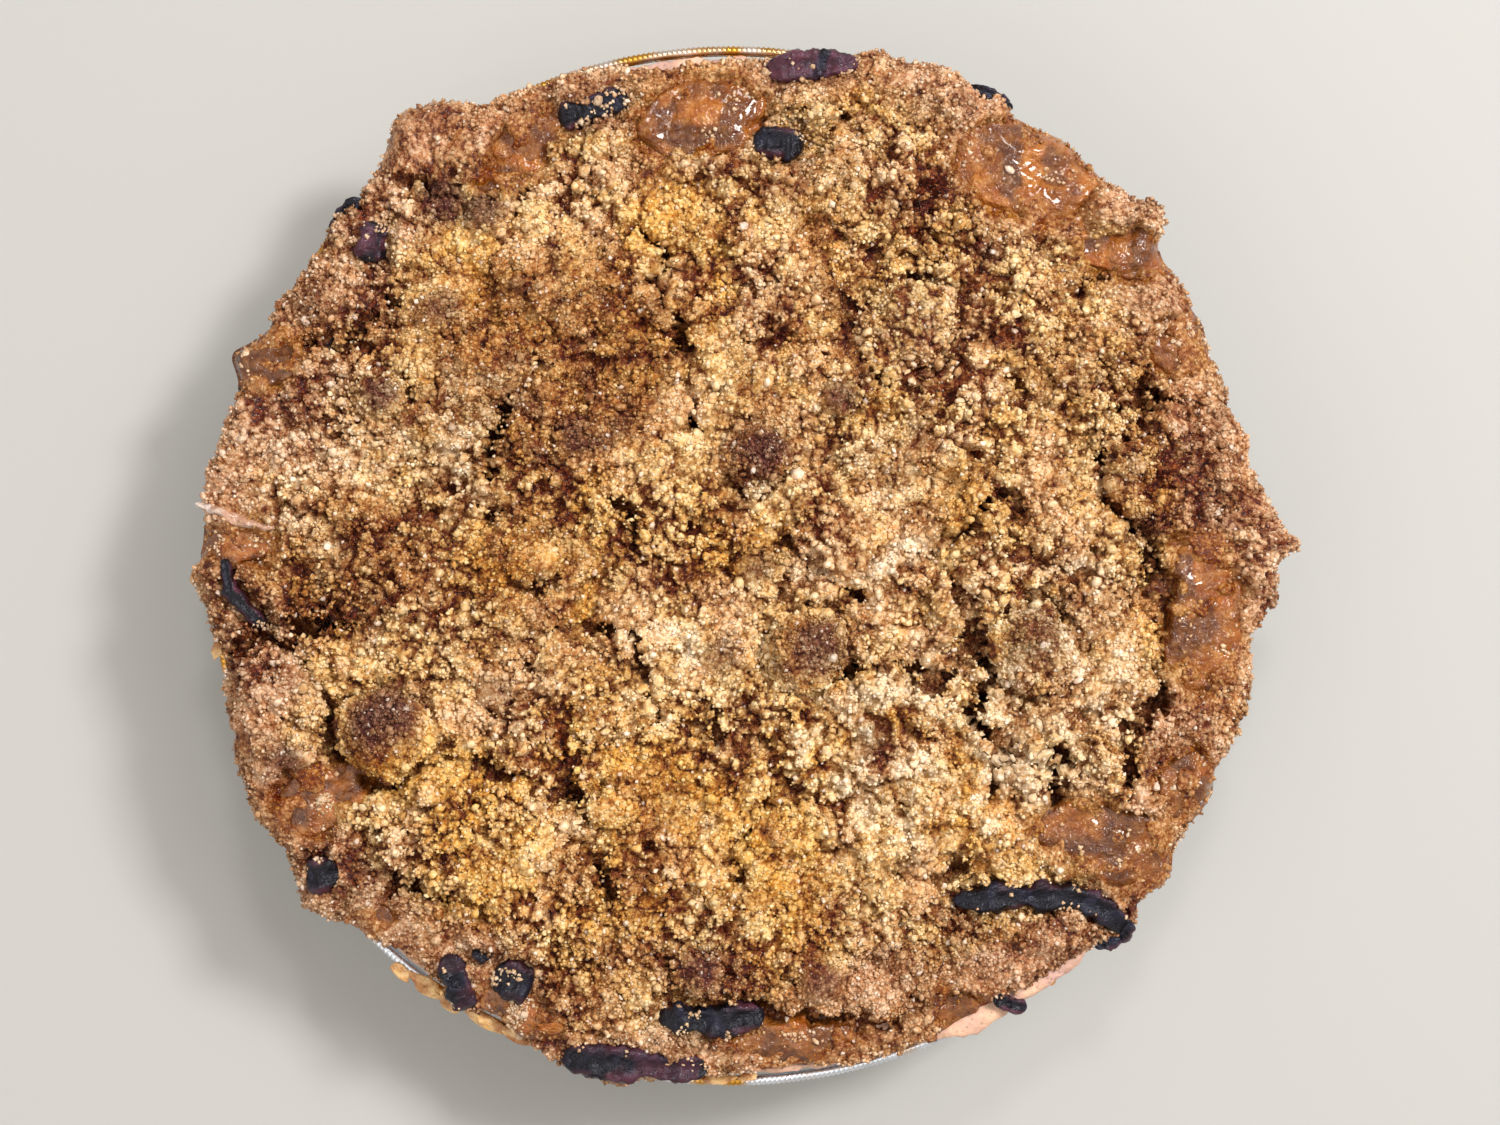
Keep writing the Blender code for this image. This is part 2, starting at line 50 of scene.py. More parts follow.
# The ring pressed up into the tin's base: radius and height
BASE_RING = ((70, 0), (67, 0.35), (50, 0.35), (47, 0))

# Fine flutes of the tin's wall and crimps of its bead, which the solids leave out
FLUTES, FLUTE_DEPTH, CRIMPS, CRIMP_DEPTH = 4 * PLEATS, 0.42, 650, 0.16

# Outline, seen from above: bearing, half width in degrees, reach past the rim
OUTLINE = (
    (2.3, 1.2, 4), (2.8, 6.5, 6.6), (14.5, 2, 1.3), (30, 5, 1.4), (39.5, 2.6, 8),
    (43, 3, 2.5), (51, 6, 3.8), (59.6, 1.3, 3.2), (67, 5, 4.6), (74, 2, 3.5),
    (94, 14, -5), (121.5, 2, 2), (126, 4.5, 8.6), (145, 3, -1.6),
    (152, 1.2, -1.2), (157, 1.8, 3.8), (172, 4.5, 1.9), (181, 2.5, 3.2),
    (191, 4, -1.6), (206.5, 5, 3.6), (218.5, 3.5, 5.2), (231.5, 6, -4.6),
    (243, 3, -5), (255.5, 3.6, 2.4), (275, 12.5, -4.8), (299, 9, -4),
    (317.5, 3.2, 4), (324, 2.5, 3.6), (334, 2.5, 2.2), (342, 3, 2.8),
    (346.5, 2.5, 2.6), (356, 2.5, 3.4),
)

# Raised plates of crumble: x, y, half length, half width, turn in degrees, lift
PLATES = (
    (75, -14, 42, 25, 118, 3.2), (103, 21, 17, 14, 60, 1.8), (80, 45, 17, 9, 0, 2),
    (-92, 1, 24, 16, 0, 2.4), (-104, -33, 13, 14, 0, 2), (-61, -65, 21, 15, 0, 2.4),
    (30, 84, 36, 12, 10, 1.8), (-66, 98, 15, 11, 20, 2), (93, 83, 11, 9, 0, 1.6),
    (36, -46, 29, 23, 150, 2.4), (-34, -30, 20, 12, 40, 2.2), (-9, -70, 22, 14, 0, 1.4),
    (24, 22, 32, 26, 0, 1.2), (-34, 56, 24, 18, 0, 1), (-38, 10, 20, 14, 30, 1.2),
)

# Cracks: half width, depth, and the points that they pass through
CRACKS = (
    (2.6, 7, ((-18, 76), (-17, 66), (-13, 58), (-10, 39), (-10, 32))),
    (2.2, 6, ((-31, 16), (-25, 15), (-23, 7))),
    (2.4, 6, ((-40, -16), (-26, -13), (-23, -19), (-18, -32))),
    (1.8, 4.5, ((-5, -31), (-2, -40))),
    (2.4, 5.5, ((11, 6), (22, -4), (30, -9))),
    (1.8, 4, ((16, -28), (33, -24), (49, -25))),
    (2.6, 6, ((47, 5), (55, 10), (63, 17))),
    (2.6, 6.5, ((50, 1), (55, -10), (60, -28), (59, -34), (63, -45), (61, -53))),
    (3, 8, ((85, 28), (90, 13), (97, 3), (100, -5), (100, -16), (97, -31), (92, -40), (91, -50))),
    (2.4, 6, ((90, 38), (97, 39), (107, 35))),
    (2.4, 6.5, ((72, -38), (77, -46), (71, -48), (77, -55))),
    (2.4, 6, ((36, -73), (51, -69))),
    (2.4, 5, ((9, -41), (15, -50), (7, -57), (2, -66), (2, -73))),
    (2, 5, ((-37, -52), (-36, -64), (-28, -74))),
    (3, 7, ((-113, -18), (-101, -19), (-94, -29), (-90, -41))),
    (2.4, 5.5, ((-101, -17), (-92, -12))),
    (2.2, 5.5, ((-50, -3), (-45, -6), (-40, -3))),
    (2, 5, ((-54, 38), (-53, 24), (-57, 9))),
    (2.2, 4.5, ((-99, 51), (-87, 55), (-76, 60))),
    (2.6, 6, ((-78, -75), (-62, -77))),
    (2.6, 5, ((-83, -51), (-59, -45), (-54, -47))),
    (2.6, 7, ((5, 103), (16, 105), (25, 105))),
    (2.4, 5, ((28, -104), (40, -105), (47, -101))),
    (2.6, 3.4, ((-76, 88), (-66, 83), (-53, 81.5), (-43, 87))),
    (2.8, 5, ((2, -103.5), (14, -103), (26, -104.5))),
)

# Syrup pools: x, y, half length, half width, turn in degrees
POOLS = (
    (-109.5, 47.3, 8.2, 5.3, 10), (-115.5, 6, 8, 5.2, 0), (-95, -54, 11.5, 6, 30),
    (15, -110, 12, 5.2, 8), (88.5, -64.5, 15.5, 7.6, -14), (106, -51, 6.4, 5.6, 60),
    (109, -11.5, 15, 9, 90), (104, 51.8, 7, 6, 0), (68, 92.5, 14.5, 9.2, -18),
    (91.5, 73, 10, 4.8, -10), (-6.5, 104, 13, 7.2, 12), (-49, -104, 8.4, 4.2, -25),
)
POOL_RISE, POOL_SINK = 1.0, 0.8

# Scorched fruit slices, standing on edge: width, height, and the points along the slice
SLICES = (
    (3.2, 7, ((-117.5, 2), (-116, -6), (-107.5, -14.5))),
    (7.6, 6.5, ((-66, -90), (-61, -103.5))),
    (9, 6.5, ((-55, -94.5), (-46, -97.5))),
    (7.4, 6, ((-40, -114), (-23, -116), (-5, -117))),
    (6.8, 7, ((-17, -104.5), (-4, -105.5), (8, -104))),
    (6.2, 8, ((51, -77.5), (66, -76.5), (79, -76.5), (87, -79.8), (92.5, -85.5))),
    (5.6, 6, ((8, 115), (19, 116.5), (30, 117))),
    (7.2, 7, ((5, 98.5), (17, 97.5))),
    (6.2, 6, ((-40, 103.5), (-32, 106), (-24, 109.5))),
    (6.5, 6, ((-84.5, 70.5), (-82, 80))),
    (8, 5, ((-99, -72), (-91, -71.5))),
)
SLICE_PROUD = 0.3

# How far four of them keep the colour of peel
BROWNISH = {"fruit_slice_02": 0.3, "fruit_slice_04": 0.45, "fruit_slice_07": 0.7, "fruit_slice_10": 0.7}

# Small glazed places that the solids leave out: x, y, half length, half width, turn in degrees
GLAZES = (
    (-82.5, -82, 3.6, 3.2, 0), (52.5, -104, 4.6, 4.2, 20), (-51, 90.5, 8.5, 4.2, 20),
    (-47, 99, 7.5, 4.6, 25), (-97, -48.5, 5, 2.6, -20),
)

# Scorched peel that the solids leave out: width, height, and the points along it
PEELS = (
    (3, 2.6, ((61, -100), (65, -102), (69, -103))),
    (2.6, 3.6, ((55.5, 112.3), (61, 110), (66, 107))),
    (4.2, 3.4, ((93, -82.5), (90.5, -86.5), (84.5, -88.5))),
    (5, 3.4, ((-59.5, -88), (-55.5, -90.5))),
    (3, 2.6, ((-93, 78), (-90.5, 82.5), (-86, 85.5))),
)

# Where syrup ran over the rim and set: x, y, half length, half width, turn in degrees
DRIPS = (
    (-77.5, -95.3, 3.6, 1.3, -40), (-71.5, -98.6, 5.2, 2, -37), (-66, -102.6, 3.6, 1.5, -34),
    (-57.5, -106.6, 4.6, 1.9, -28), (-50.5, -110.2, 3.6, 1.3, -24), (-3, -120.2, 4.2, 1.4, 0),
    (4.5, -119.8, 2.6, 1.2, 4), (75, -97, 2.2, 1.4, 40), (-120.8, -20, 2.4, 1.3, 88),
)

# Where syrup baked on and made the foil golden: bearing, half width and soft edge in degrees, amount
BAKED_GOLD = (
    (113, 32, 6, 0.9), (142, 5, 3, 1), (189, 4.5, 3, 1), (237, 5, 3, 1), (245, 5, 3, 1),
    (268.5, 5, 3, 1), (308, 4, 3, 1),
)

# Large round clumps of topping: x, y, radius
CLUMPS = (
    (5.6, 24.4, 7.4), (17.6, -19.2, 9), (-80.3, -38.5, 10.8), (69.5, -19, 9.8),
    (41, 55.5, 11), (-27.6, -55.5, 5), (-80.5, 39.5, 5.2), (-46.5, 71, 4.2),
)
CLUMP_FLATNESS = 0.62

# Dark tops of clumps and other small dark places: x, y, radius, amount
DARK_TOPS = (
    (7.5, 26, 5.6, 1), (20, -19, 7, 0.9), (-80, -35.5, 8.4, 1), (69, -16, 7.5, 0.75),
    (41, 57, 9, 0.3), (-80.5, 39.5, 4.6, 0.9), (25.1, 38.9, 4.4, 0.9), (5.6, 0.2, 5.2, 0.5),
    (-2.6, -20.8, 5, 0.5), (-7.3, -93.4, 6, 0.6), (20.8, -95.8, 5.4, 0.6), (-54.1, -29, 5, 0.4),
    (33, -40, 5, 0.5), (-66, 60, 5, 0.6), (-35, 30, 6, 0.5), (96, 8, 6, 0.5),
    (-67, 84.5, 6, 0.9), (-57, 82, 5, 0.9), (-103, -45, 5, 0.7), (60, 72, 4, 0.5),
)

# Smaller clumps: x, y, radius
NUGGETS = (
    (-35.8, 55.3, 2.8), (-24.8, 54.1, 3.5), (3.3, 49.4, 3.5), (25.1, 38.9, 4.7), (5.6, 0.2, 5.6),
    (-2.6, -20.8, 5.4), (-54.1, -29, 5.4), (-7.3, -93.4, 6.2), (20.8, -95.8, 5.6), (-43.6, 1.4, 4.4),
)

# The crumble's middle is a square grid cut to a circle, and its edge is rings with this many points
PATCH_STEP, PATCH_R, EDGE_STEPS = 0.66, 96.0, 1130
CRACK_BANK = 0.46

# Pitches of its slabs, clusters and crumbs
SLAB, CLUSTER, CRUMB = 13.5, 6.6, 3.4

# Points once round the tin and the case, and the small radius that stands for their axis
TURN_STEPS, AXIS_R = 480, 0.01

# Loose grains: label, pieces, number, subdivisions, and radius as typical, spread, least and most
GRAINS = (
    ("coarse", 1, 4200, 1, (0.72, 0.28, 0.45, 1.5)),
    ("fine", 3, 52500, None, (0.50, 0.24, 0.30, 0.9)),
)

# The pale skin that stands up in a fold: the points along it
FOLD = ((-125.0, 14.6), (-119.0, 12.6), (-112.5, 10.0), (-105.5, 8.6))

# Golden hollows and browned or floured places: x, y, half length, half width, turn, amount
GOLDEN = (
    (-32, -58, 42, 26, 10, 1), (38, -44, 36, 24, -20, 0.8), (-52, 14, 9, 26, 0, 0.8),
    (-12, 74, 16, 30, -10, 0.7), (60, 4, 10, 26, 20, 0.6), (-70, -46, 24, 10, 0, 1),
    (8, -66, 16, 22, 0, 0.7), (-10, 8, 20, 12, 0, 0.5), (88, -30, 8, 30, 0, 0.5),
    (-44, -76, 30, 10, 0, 0.8), (-60, 70, 12, 10, 0, 0.6),
)
BROWNED = (
    (-66, 98, 17, 12, 20, 0.4), (-90, 2, 24, 16, 0, 0.65), (-70, 44, 22, 18, 0, 0.5),
    (-38, 48, 26, 26, 0, 1.2), (-44, -2, 16, 20, 0, 0.5), (6, 24, 8, 8, 0, 0.9),
    (66, -14, 18, 30, 15, 0.2), (100, 22, 16, 16, 0, 0.6), (18, -19, 9, 9, 0, 0.9),
    (-80, -38, 11, 10, 0, 0.9), (66, -90, 22, 10, 0, 0.6), (-10, -96, 40, 10, 0, 0.6),
    (40, 76, 26, 14, 0, 0.3), (30, 52, 40, 20, 0, 0.2), (-92, -68, 10, 10, 0, 0.7),
    (-4, 62, 8, 10, 0, 0.5), (82, 44, 18, 12, 0, 0.5), (20, 96, 20, 6, 0, 0.45),
)
FLOURED = (
    (30, 2, 17, 6, 10, 0.8), (-16, -18, 9, 8, 0, 0.8), (-26, -35, 12, 8, 0, 0.5),
    (-66, 24, 12, 14, 0, 0.6), (40, 24, 16, 12, 0, 0.4), (-56, 40, 10, 10, 0, 0.3),
    (42, -44, 30, 22, -20, 1), (-40, -62, 22, 12, 0, 0.3), (-14, -64, 16, 10, 0, 0.3),
    (60, -58, 18, 8, 0, 0.3), (10, 14, 10, 6, 0, 0.4), (74, -22, 22, 32, 10, 0.5),
    (-96, 14, 16, 20, 0, 0.3), (-4, 88, 30, 12, 0, 0.2),
)

# Damp, glistening crumble, and places where juice baked on dark, in the same way
DAMP = (
    (-72, 99, 14, 9, 20, 1), (-56, 94, 10, 8, 0, 0.9), (68, 83, 15, 7, -20, 0.9),
    (96, 64, 12, 8, -40, 0.5), (-10, 98, 20, 9, 10, 0.6), (112, -8, 7, 22, 0, 0.5),
    (104, -40, 9, 12, 0, 0.6), (-100, -52, 12, 10, 0, 0.7), (-70, -92, 16, 7, -38, 0.6),
    (12, -112, 26, 6, 5, 0.7), (60, -96, 18, 8, 30, 0.5), (-110, 40, 8, 12, 0, 0.6),
)
BAKED_ON = (
    (-90, 81, 12, 4.5, 48, 1), (-104, -44, 6, 5, 0, 0.5), (-93, -72, 8, 6, 0, 0.8),
    (84, -84, 8, 5, 0, 0.6),
)

# Lights: name, place and width in metres, and power in watts
LIGHTS = (
    ("key", (1.15, 0.75, 1.85), 1.10, 16.0), ("glint", (1.25, 0.80, 1.80), 0.40, 39.0),
    ("glint_2", (0.15, 1.30, 1.90), 0.30, 10.0), ("top", (0.0, 0.0, 2.2), 1.2, 4.5),
    ("fill", (-1.4, -1.0, 1.8), 1.8, 13.0),
)
LIGHT_COLOUR = (1.0, 0.98, 0.95)
WORLD_LIGHT, WORLD_STRENGTH = (1.0, 0.93, 0.84, 1), 0.58

# The camera looks straight down: the middle and width of its frame at the rim, and its lens
FRAME_MIDDLE, FRAME_WIDTH = (4.45, 0.8), 0.3513
SENSOR, FOCAL = 36.0, 70.0


def srgb(red, green, blue):
    """Linear light from a 0 to 255 display colour."""
    shares = np.array((red, green, blue)) / 255
    return np.where(shares < 0.04045, shares / 12.92, ((shares + 0.055) / 1.055) ** 2.4)


# Powers on red, green and blue, which make the topping's colours darker and warmer as painted shade where it
# lies low
SHADE_POWERS = np.array((1.02, 1.09, 1.36))
GOLD = srgb(226, 182, 122)
MUSTARD = srgb(202, 146, 70)
TAN = srgb(226, 192, 154)
BROWN = srgb(166, 116, 78)
ROSE = srgb(212, 168, 152)
MAUVE = srgb(104, 66, 64)
FLOUR = srgb(244, 224, 206)
# The colour of painted shade in the crumble's gaps, cracks and ledges
PAINTED_SHADE = srgb(104, 38, 6)
SOAKED = srgb(200, 158, 146)
CARAMEL = srgb(134, 79, 31)
AMBER = srgb(164, 99, 40)
TOFFEE = srgb(80, 42, 16)
CHAR = srgb(14, 11, 15)
PEEL = srgb(84, 44, 56)
NAVY = srgb(34, 34, 54)
DOUGH = srgb(226, 182, 154)
CREAM = srgb(232, 214, 204)
SILVER = srgb(232, 238, 248)
GOLD_FOIL = srgb(206, 150, 60)
SUGAR, FLOOR, FRUIT = (0.93, 0.76, 0.52, 1), (0.42, 0.42, 0.41, 1), (0.45, 0.24, 0.08, 1)


# ---- forms shared with the solids


def bell(distance, reach):
    return np.exp(-((distance / reach) ** 2))


def ease(x):
    x = np.clip(x, 0.0, 1.0)
    return x * x * (3 - 2 * x)


def turn_between(angle, bearing):
    """Degrees from a bearing to an angle in radians, between -180 and 180."""
    return (np.degrees(angle) - bearing + 180) % 360 - 180


def outline(angle):
    """How far the crumble reaches from the middle at an angle."""
    reach = np.full(np.shape(angle), RIM_R)
    for bearing, half_width, past in OUTLINE:
        reach = reach + past * bell(turn_between(angle, bearing), half_width)
    return reach + 0.5 * np.sin(41 * angle) * np.sin(17 * angle + 1)


def edge_height(reach):
    return np.interp(reach, (118.5, 124.0, 132.0), (43.4, 40.4, 38.6))


def oval_distance(x, y, oval):
    """0 at the middle of an oval and 1 on its edge."""
    cx, cy, half_length, half_width, turn = oval[:5]
    c, s = math.cos(math.radians(turn)), math.sin(math.radians(turn))
    along = ((x - cx) * c + (y - cy) * s) / half_length
    across = ((y - cy) * c - (x - cx) * s) / half_width
    return np.hypot(along, across)


def line_distance(x, y, points):
    best = np.full(np.shape(x), 1e9)
    for (ax, ay), (bx, by) in zip(points, points[1:]):
        dx, dy = bx - ax, by - ay
        t = np.clip(((x - ax) * dx + (y - ay) * dy) / (dx * dx + dy * dy), 0, 1)
        best = np.minimum(best, np.hypot(x - ax - t * dx, y - ay - t * dy))
    return best


def dome_height(r):
    return MOUND_EDGE + (MOUND_TOP - MOUND_EDGE) * (1 - np.clip(r / MOUND_R, 0, 1) ** 2.4)


def mound(x, y):
    """The crumble's height without lumps, plates or cracks, rolling down at its edge."""
    r, reach = np.hypot(x, y), outline(np.arctan2(y, x))
    dome, low = dome_height(r), edge_height(reach)
    rolled = np.clip((r - reach + ROLL) / ROLL, 0, 1)
    return low + (dome - low) * np.sqrt(1 - rolled**2)


def lumps(x, y):
    """Round lumps on a jittered grid."""
    rng = np.random.default_rng(SEED)
    side = int(2 * 135 / LUMP_PITCH)
    rise = np.zeros(np.shape(x))
    for i in range(side * side):
        cx, cy = LUMP_PITCH * (np.array(divmod(i, side)) - side / 2 + rng.uniform(-0.45, 0.45, 2))
        radius, height = rng.uniform(*LUMP_R), rng.uniform(*LUMP_RISE)
        near = np.clip(1 - ((x - cx) ** 2 + (y - cy) ** 2) / radius**2, 0, None)
        rise = np.maximum(rise, height * np.sqrt(near))
    return rise


def on_plane(x, y):
    """Points at height 0, for noise that depends on the place seen from above."""
    return np.column_stack((x, y, np.zeros(len(x))))


def torn(x, y):
    """Places moved about by noise, which makes the banks of cracks and pools ragged."""
    moved = ragged(ragged(on_plane(x, y), 6.0, 1.9, 81), 2.0, 0.9, 84)
    return moved[:, 0], moved[:, 1]


def crack_depth(x, y):
    tx, ty = torn(x, y)
    deepest = np.zeros(len(x))
    for half_width, depth, points in CRACKS:
        away = line_distance(tx, ty, points) / (CRACK_BANK * half_width)
        deepest = np.maximum(deepest, depth / (1 + away**5))
    return deepest * np.clip(0.75 + 0.6 * grit(on_plane(x, y), 9.0, 87), 0.35, 1.15)


def moat(x, y):
    """1 in the narrow gap round a large clump."""
    gap = np.zeros(len(x))
    for cx, cy, radius in CLUMPS:
        gap = np.maximum(gap, bell(np.hypot(x - cx, y - cy) / radius - 1.12, 0.15))
    return gap


def relief(x, y):
    """What plates, lumps and cracks add to the mound, with hollows for the syrup and the slices."""
    tx, ty = torn(x, y)
    flat = on_plane(x, y)
    added = lumps(x, y)
    for plate in PLATES:
        added = added + plate[5] * ease(6 * (1.05 - oval_distance(tx, ty, plate)))
    added = added + 1.1 * grit(flat, 15.0, 88) - 1.6 * moat(tx, ty)
    sunk = -1.6 + 4.0 * np.clip(grit(flat, 5.0, 89) - 0.3, 0, 0.7)
    for pool in POOLS + GLAZES:
        added = added + (sunk - added) * ease(4 * (1.35 - oval_distance(tx, ty, pool)))
    for width, _, points in SLICES:
        away = line_distance(tx, ty, points) - width / 2
        added = added + (-0.8 - added) * ease((2.5 - away) / 2)
    return added - crack_depth(x, y)


# ---- fine detail


def lattice(cell):
    """A row of a random table for each lattice cell."""
    return (cell[:, 0] * 73856093 ^ cell[:, 1] * 19349663 ^ cell[:, 2] * 83492791) & (TABLE_ROWS - 1)


def cells(points, pitch, seed):
    """Distances in pitches to the nearest and next points of a jittered lattice, and the nearest's number."""
    table = np.random.default_rng(seed).random((TABLE_ROWS, 4))
    scaled = points / pitch
    base = np.floor(scaled).astype(np.int64)
    nearest, after, ident = np.full(len(points), 9.0), np.full(len(points), 9.0), np.zeros(len(points))
    for i in range(27):
        cell = base + np.array((i % 3 - 1, i // 3 % 3 - 1, i // 9 - 1))
        drawn = table[lattice(cell)]
        away = np.sqrt(((scaled - cell - drawn[:, :3]) ** 2).sum(axis=1))
        closer = away < nearest
        after = np.where(closer, nearest, np.minimum(after, away))
        nearest = np.where(closer, away, nearest)
        ident = np.where(closer, drawn[:, 3], ident)
    return nearest, after, ident


def grit(points, pitch, seed, octaves=2):
    """Ragged noise, about -1 to 1: random numbers on a lattice, joined smoothly, at halving pitches."""
    table = 1.5 * np.random.default_rng(seed).uniform(-1, 1, TABLE_ROWS)
    total = np.zeros(len(points))
    for octave in range(octaves):
        scaled = points / pitch * 2**octave + 17.3 * octave
        base = np.floor(scaled).astype(np.int64)
        part = ease(scaled - base)
        for i in range(8):
            corner = np.array((i & 1, i >> 1 & 1, i >> 2))
            share = np.where(corner, part, 1 - part).prod(axis=1)
            total += 0.55**octave * share * table[lattice(base + corner)]
    return total


def ragged(points, pitch, amount, seed):
    return points + amount * np.column_stack([grit(points, pitch, seed + k) for k in range(3)])


def drift(points, size, seed, waves=14):
    """A smooth random field, about -1 to 1, that changes over a size."""
    rng = np.random.default_rng(seed)
    total = np.zeros(len(points))
    for _ in range(waves):
        way = rng.normal(size=3)
        way *= 2 * math.pi / (size * rng.uniform(0.7, 1.6)) / np.linalg.norm(way)
        total += np.sin(points @ way + rng.uniform(0, 2 * math.pi))
    return total / math.sqrt(waves)


def mix(a, b, share):
    """Colours between a and b. Each is one colour or one for each share."""
    return a + (b - a) * np.clip(share, 0, 1)[:, None]


def ovals(x, y, table):
    """The strongest amount that any oval of a table gives each point."""
    most = np.zeros(np.shape(x))
    for oval in table:
        most = np.maximum(most, oval[5] * ease(1.6 * (1.25 - oval_distance(x, y, oval))))
    return most


def wetness(x, y):
    """1 in a pool of syrup, falling to 0 a few millimetres outside it."""
    tx, ty = torn(x, y)
    wet = np.zeros(len(x))
    for pool in POOLS + GLAZES:
        wet = np.maximum(wet, ease(2.6 * (1.55 - oval_distance(tx, ty, pool))))
    return wet


def scorch(x, y):
    """1 against a scorched slice, falling to 0 a few millimetres away."""
    tx, ty = torn(x, y)
    burnt = np.zeros(len(x))
    for width, _, points in SLICES:
        burnt = np.maximum(burnt, ease((3.5 - (line_distance(tx, ty, points) - width / 2)) / 3.5))
    return burnt


def tops(x, y):
    """How dark the topping is on clumps and in other small places."""
    dark = np.zeros(len(x))
    for cx, cy, radius, amount in DARK_TOPS:
        dark = np.maximum(dark, amount * bell((np.hypot(x - cx, y - cy) / radius) ** 2, 0.85))
    return dark


def topping(points, on_clump=False):
    """Of points on the crumble: how far they stand out, their colours with painted shade in gaps and low
    places, soaking and depth in gaps.
    """
    x, y, _ = points.T
    tx, ty = torn(x, y)
    r, reach = np.hypot(x, y), outline(np.arctan2(y, x))
    wet, damp, dark = wetness(x, y), ovals(tx, ty, DAMP), tops(x, y)
    burnt = np.maximum(scorch(x, y), ovals(tx, ty, BAKED_ON))
    rim = ease((r - (reach - 22 + 7 * grit(points, 18, 41))) / 10)
    loose = ease(0.50 + 0.6 * grit(points, 22, 47) - 0.35 * rim) * (1 - 0.8 * wet)

    # Form: slabs, clusters and crumbs, each a cell that bulges, with gaps between the cells
    slab, slab_next, slab_id = cells(ragged(ragged(points, 9.0, 2.6, 33), 3.0, 1.0, 36), SLAB, 10)
    big, big_next, big_id = cells(ragged(points, 4.5, 1.9, 21), CLUSTER, 11)
    bit, bit_next, bit_id = cells(ragged(points, 1.8, 0.8, 24), CRUMB, 12)
    ledge = ease(1 - SLAB * (slab_next - slab) / 1.6) * (0 if on_clump else 1)
    split = ease(1 - (big_next - big) / (0.09 + 0.15 * loose))
    nick = ease(1 - (bit_next - bit) / 0.16)
    cluster, crumb = 1 - big**2, 1 - bit**2
    out = 1.8 * (cluster - 0.5) * (0.4 + 0.6 * big_id) - 1.8 * loose * split
    out = out + (0.5 + 0.5 * loose) * ((crumb - 0.5) * (0.5 + bit_id) - 0.9 * nick)
    height = np.clip(0.5 + 0.28 * out, 0, 1)
    if not on_clump:
        out = out + (1 - 0.6 * rim) * (1.5 * (slab_id - 0.5) + 2.2 * (0.4 - slab**2)) - 0.9 * ledge
    out = (out + 0.38 * grit(points, 1.5, 27)) * (1 - 0.35 * rim) * (1 - 0.75 * wet) * (1 - 0.4 * damp)
    # How deep a point lies in a crack or the moat round a clump: it sets painted shade there and keeps grains
    # out
    deep = np.clip(crack_depth(x, y) / 4, 0, 1)
    if not on_clump:
        deep = np.maximum(deep, 0.8 * moat(tx, ty))

    # Colour: mixed in this order, with painted shade in gaps, cracks and ledges, then deepened as painted
    # shade where it lies low, and darkened on dark tops
    gold = np.clip(0.75 * ovals(x, y, GOLDEN) + 0.35 * grit(points, 16, 42) + 0.4 * (0.5 - slab_id), 0, 1)
    brown = np.clip(ovals(x, y, BROWNED) + 0.35 * grit(points, 11, 43), 0, 1)
    rosy = ease(0.40 + 0.7 * grit(points, 9, 62) + (big_id - 0.5) + 0.5 * (slab_id - 0.5) - 0.35 * gold)
    mauve = np.clip(0.9 * brown * ease(0.15 + 1.2 * grit(points, 4, 63)) + 1.2 * dark, 0, 1)
    flour = np.clip(ovals(x, y, FLOURED) * (0.6 + 0.8 * grit(points, 5, 44)), 0, 1)
    # Painted shade: how dark the gaps between clusters and crumbs and the slab ledges are
    gaps = np.clip(0.9 * loose * split + (0.45 + 0.4 * loose) * nick + 0.6 * ledge, 0, 0.95)
    colour = TAN
    for other, share in (
        (GOLD, gold),
        (ROSE, 0.50 * rosy),
        (BROWN, 0.9 * brown * (0.4 + 0.6 * height)),
        (SOAKED, 0.75 * rim),
        (MAUVE, 0.5 * rim * ease(1.2 * grit(points, 6, 65))),
        (MAUVE, 0.80 * mauve),
        (FLOUR, 0.75 * flour),
        (MUSTARD, gold * (1 - height) * 0.6),
        (SOAKED, 0.5 * damp),
        (CARAMEL, 0.7 * wet + 0.5 * damp * ease(0.3 + grit(points, 7, 66))),
        (TOFFEE, 0.5 * burnt * ease(0.5 + 1.2 * grit(points, 3, 64))),
        # painted shade in the gaps, less where wet or floured
        (PAINTED_SHADE, gaps * (1 - 0.5 * wet) * (1 - 0.4 * flour)),
        # painted shade in cracks and the moat round clumps
        (PAINTED_SHADE * 0.7, 0.9 * deep),
    ):
        colour = mix(colour, other, share)
    # Painted shade: how low a point lies in its cluster, between crumbs and towards slab edges, less where
    # floured, with some tone at random
    low = 1.0 - height - 0.22 * (crumb - 0.5) - 0.24 * grit(points, 2.0, 45) - 0.3 * (bit_id - 0.5)
    low = low + 0.3 * nick + 0.25 * brown - 0.5 * flour + 0.5 * (slab**2 - 0.35)
    colour = colour ** ((0.78 + 0.54 * np.clip(low, 0, 1.2))[:, None] * SHADE_POWERS)
    colour = mix(colour, MAUVE * 0.55, 0.6 * dark * (0.5 + 0.5 * height))
    soak = np.clip(0.45 * rim + 0.7 * wet + 0.6 * damp, 0, 1)
    return out, colour, soak, np.clip(loose * split + deep + 0.9 * nick + 0.7 * ledge, 0, 1)


# ---- meshes


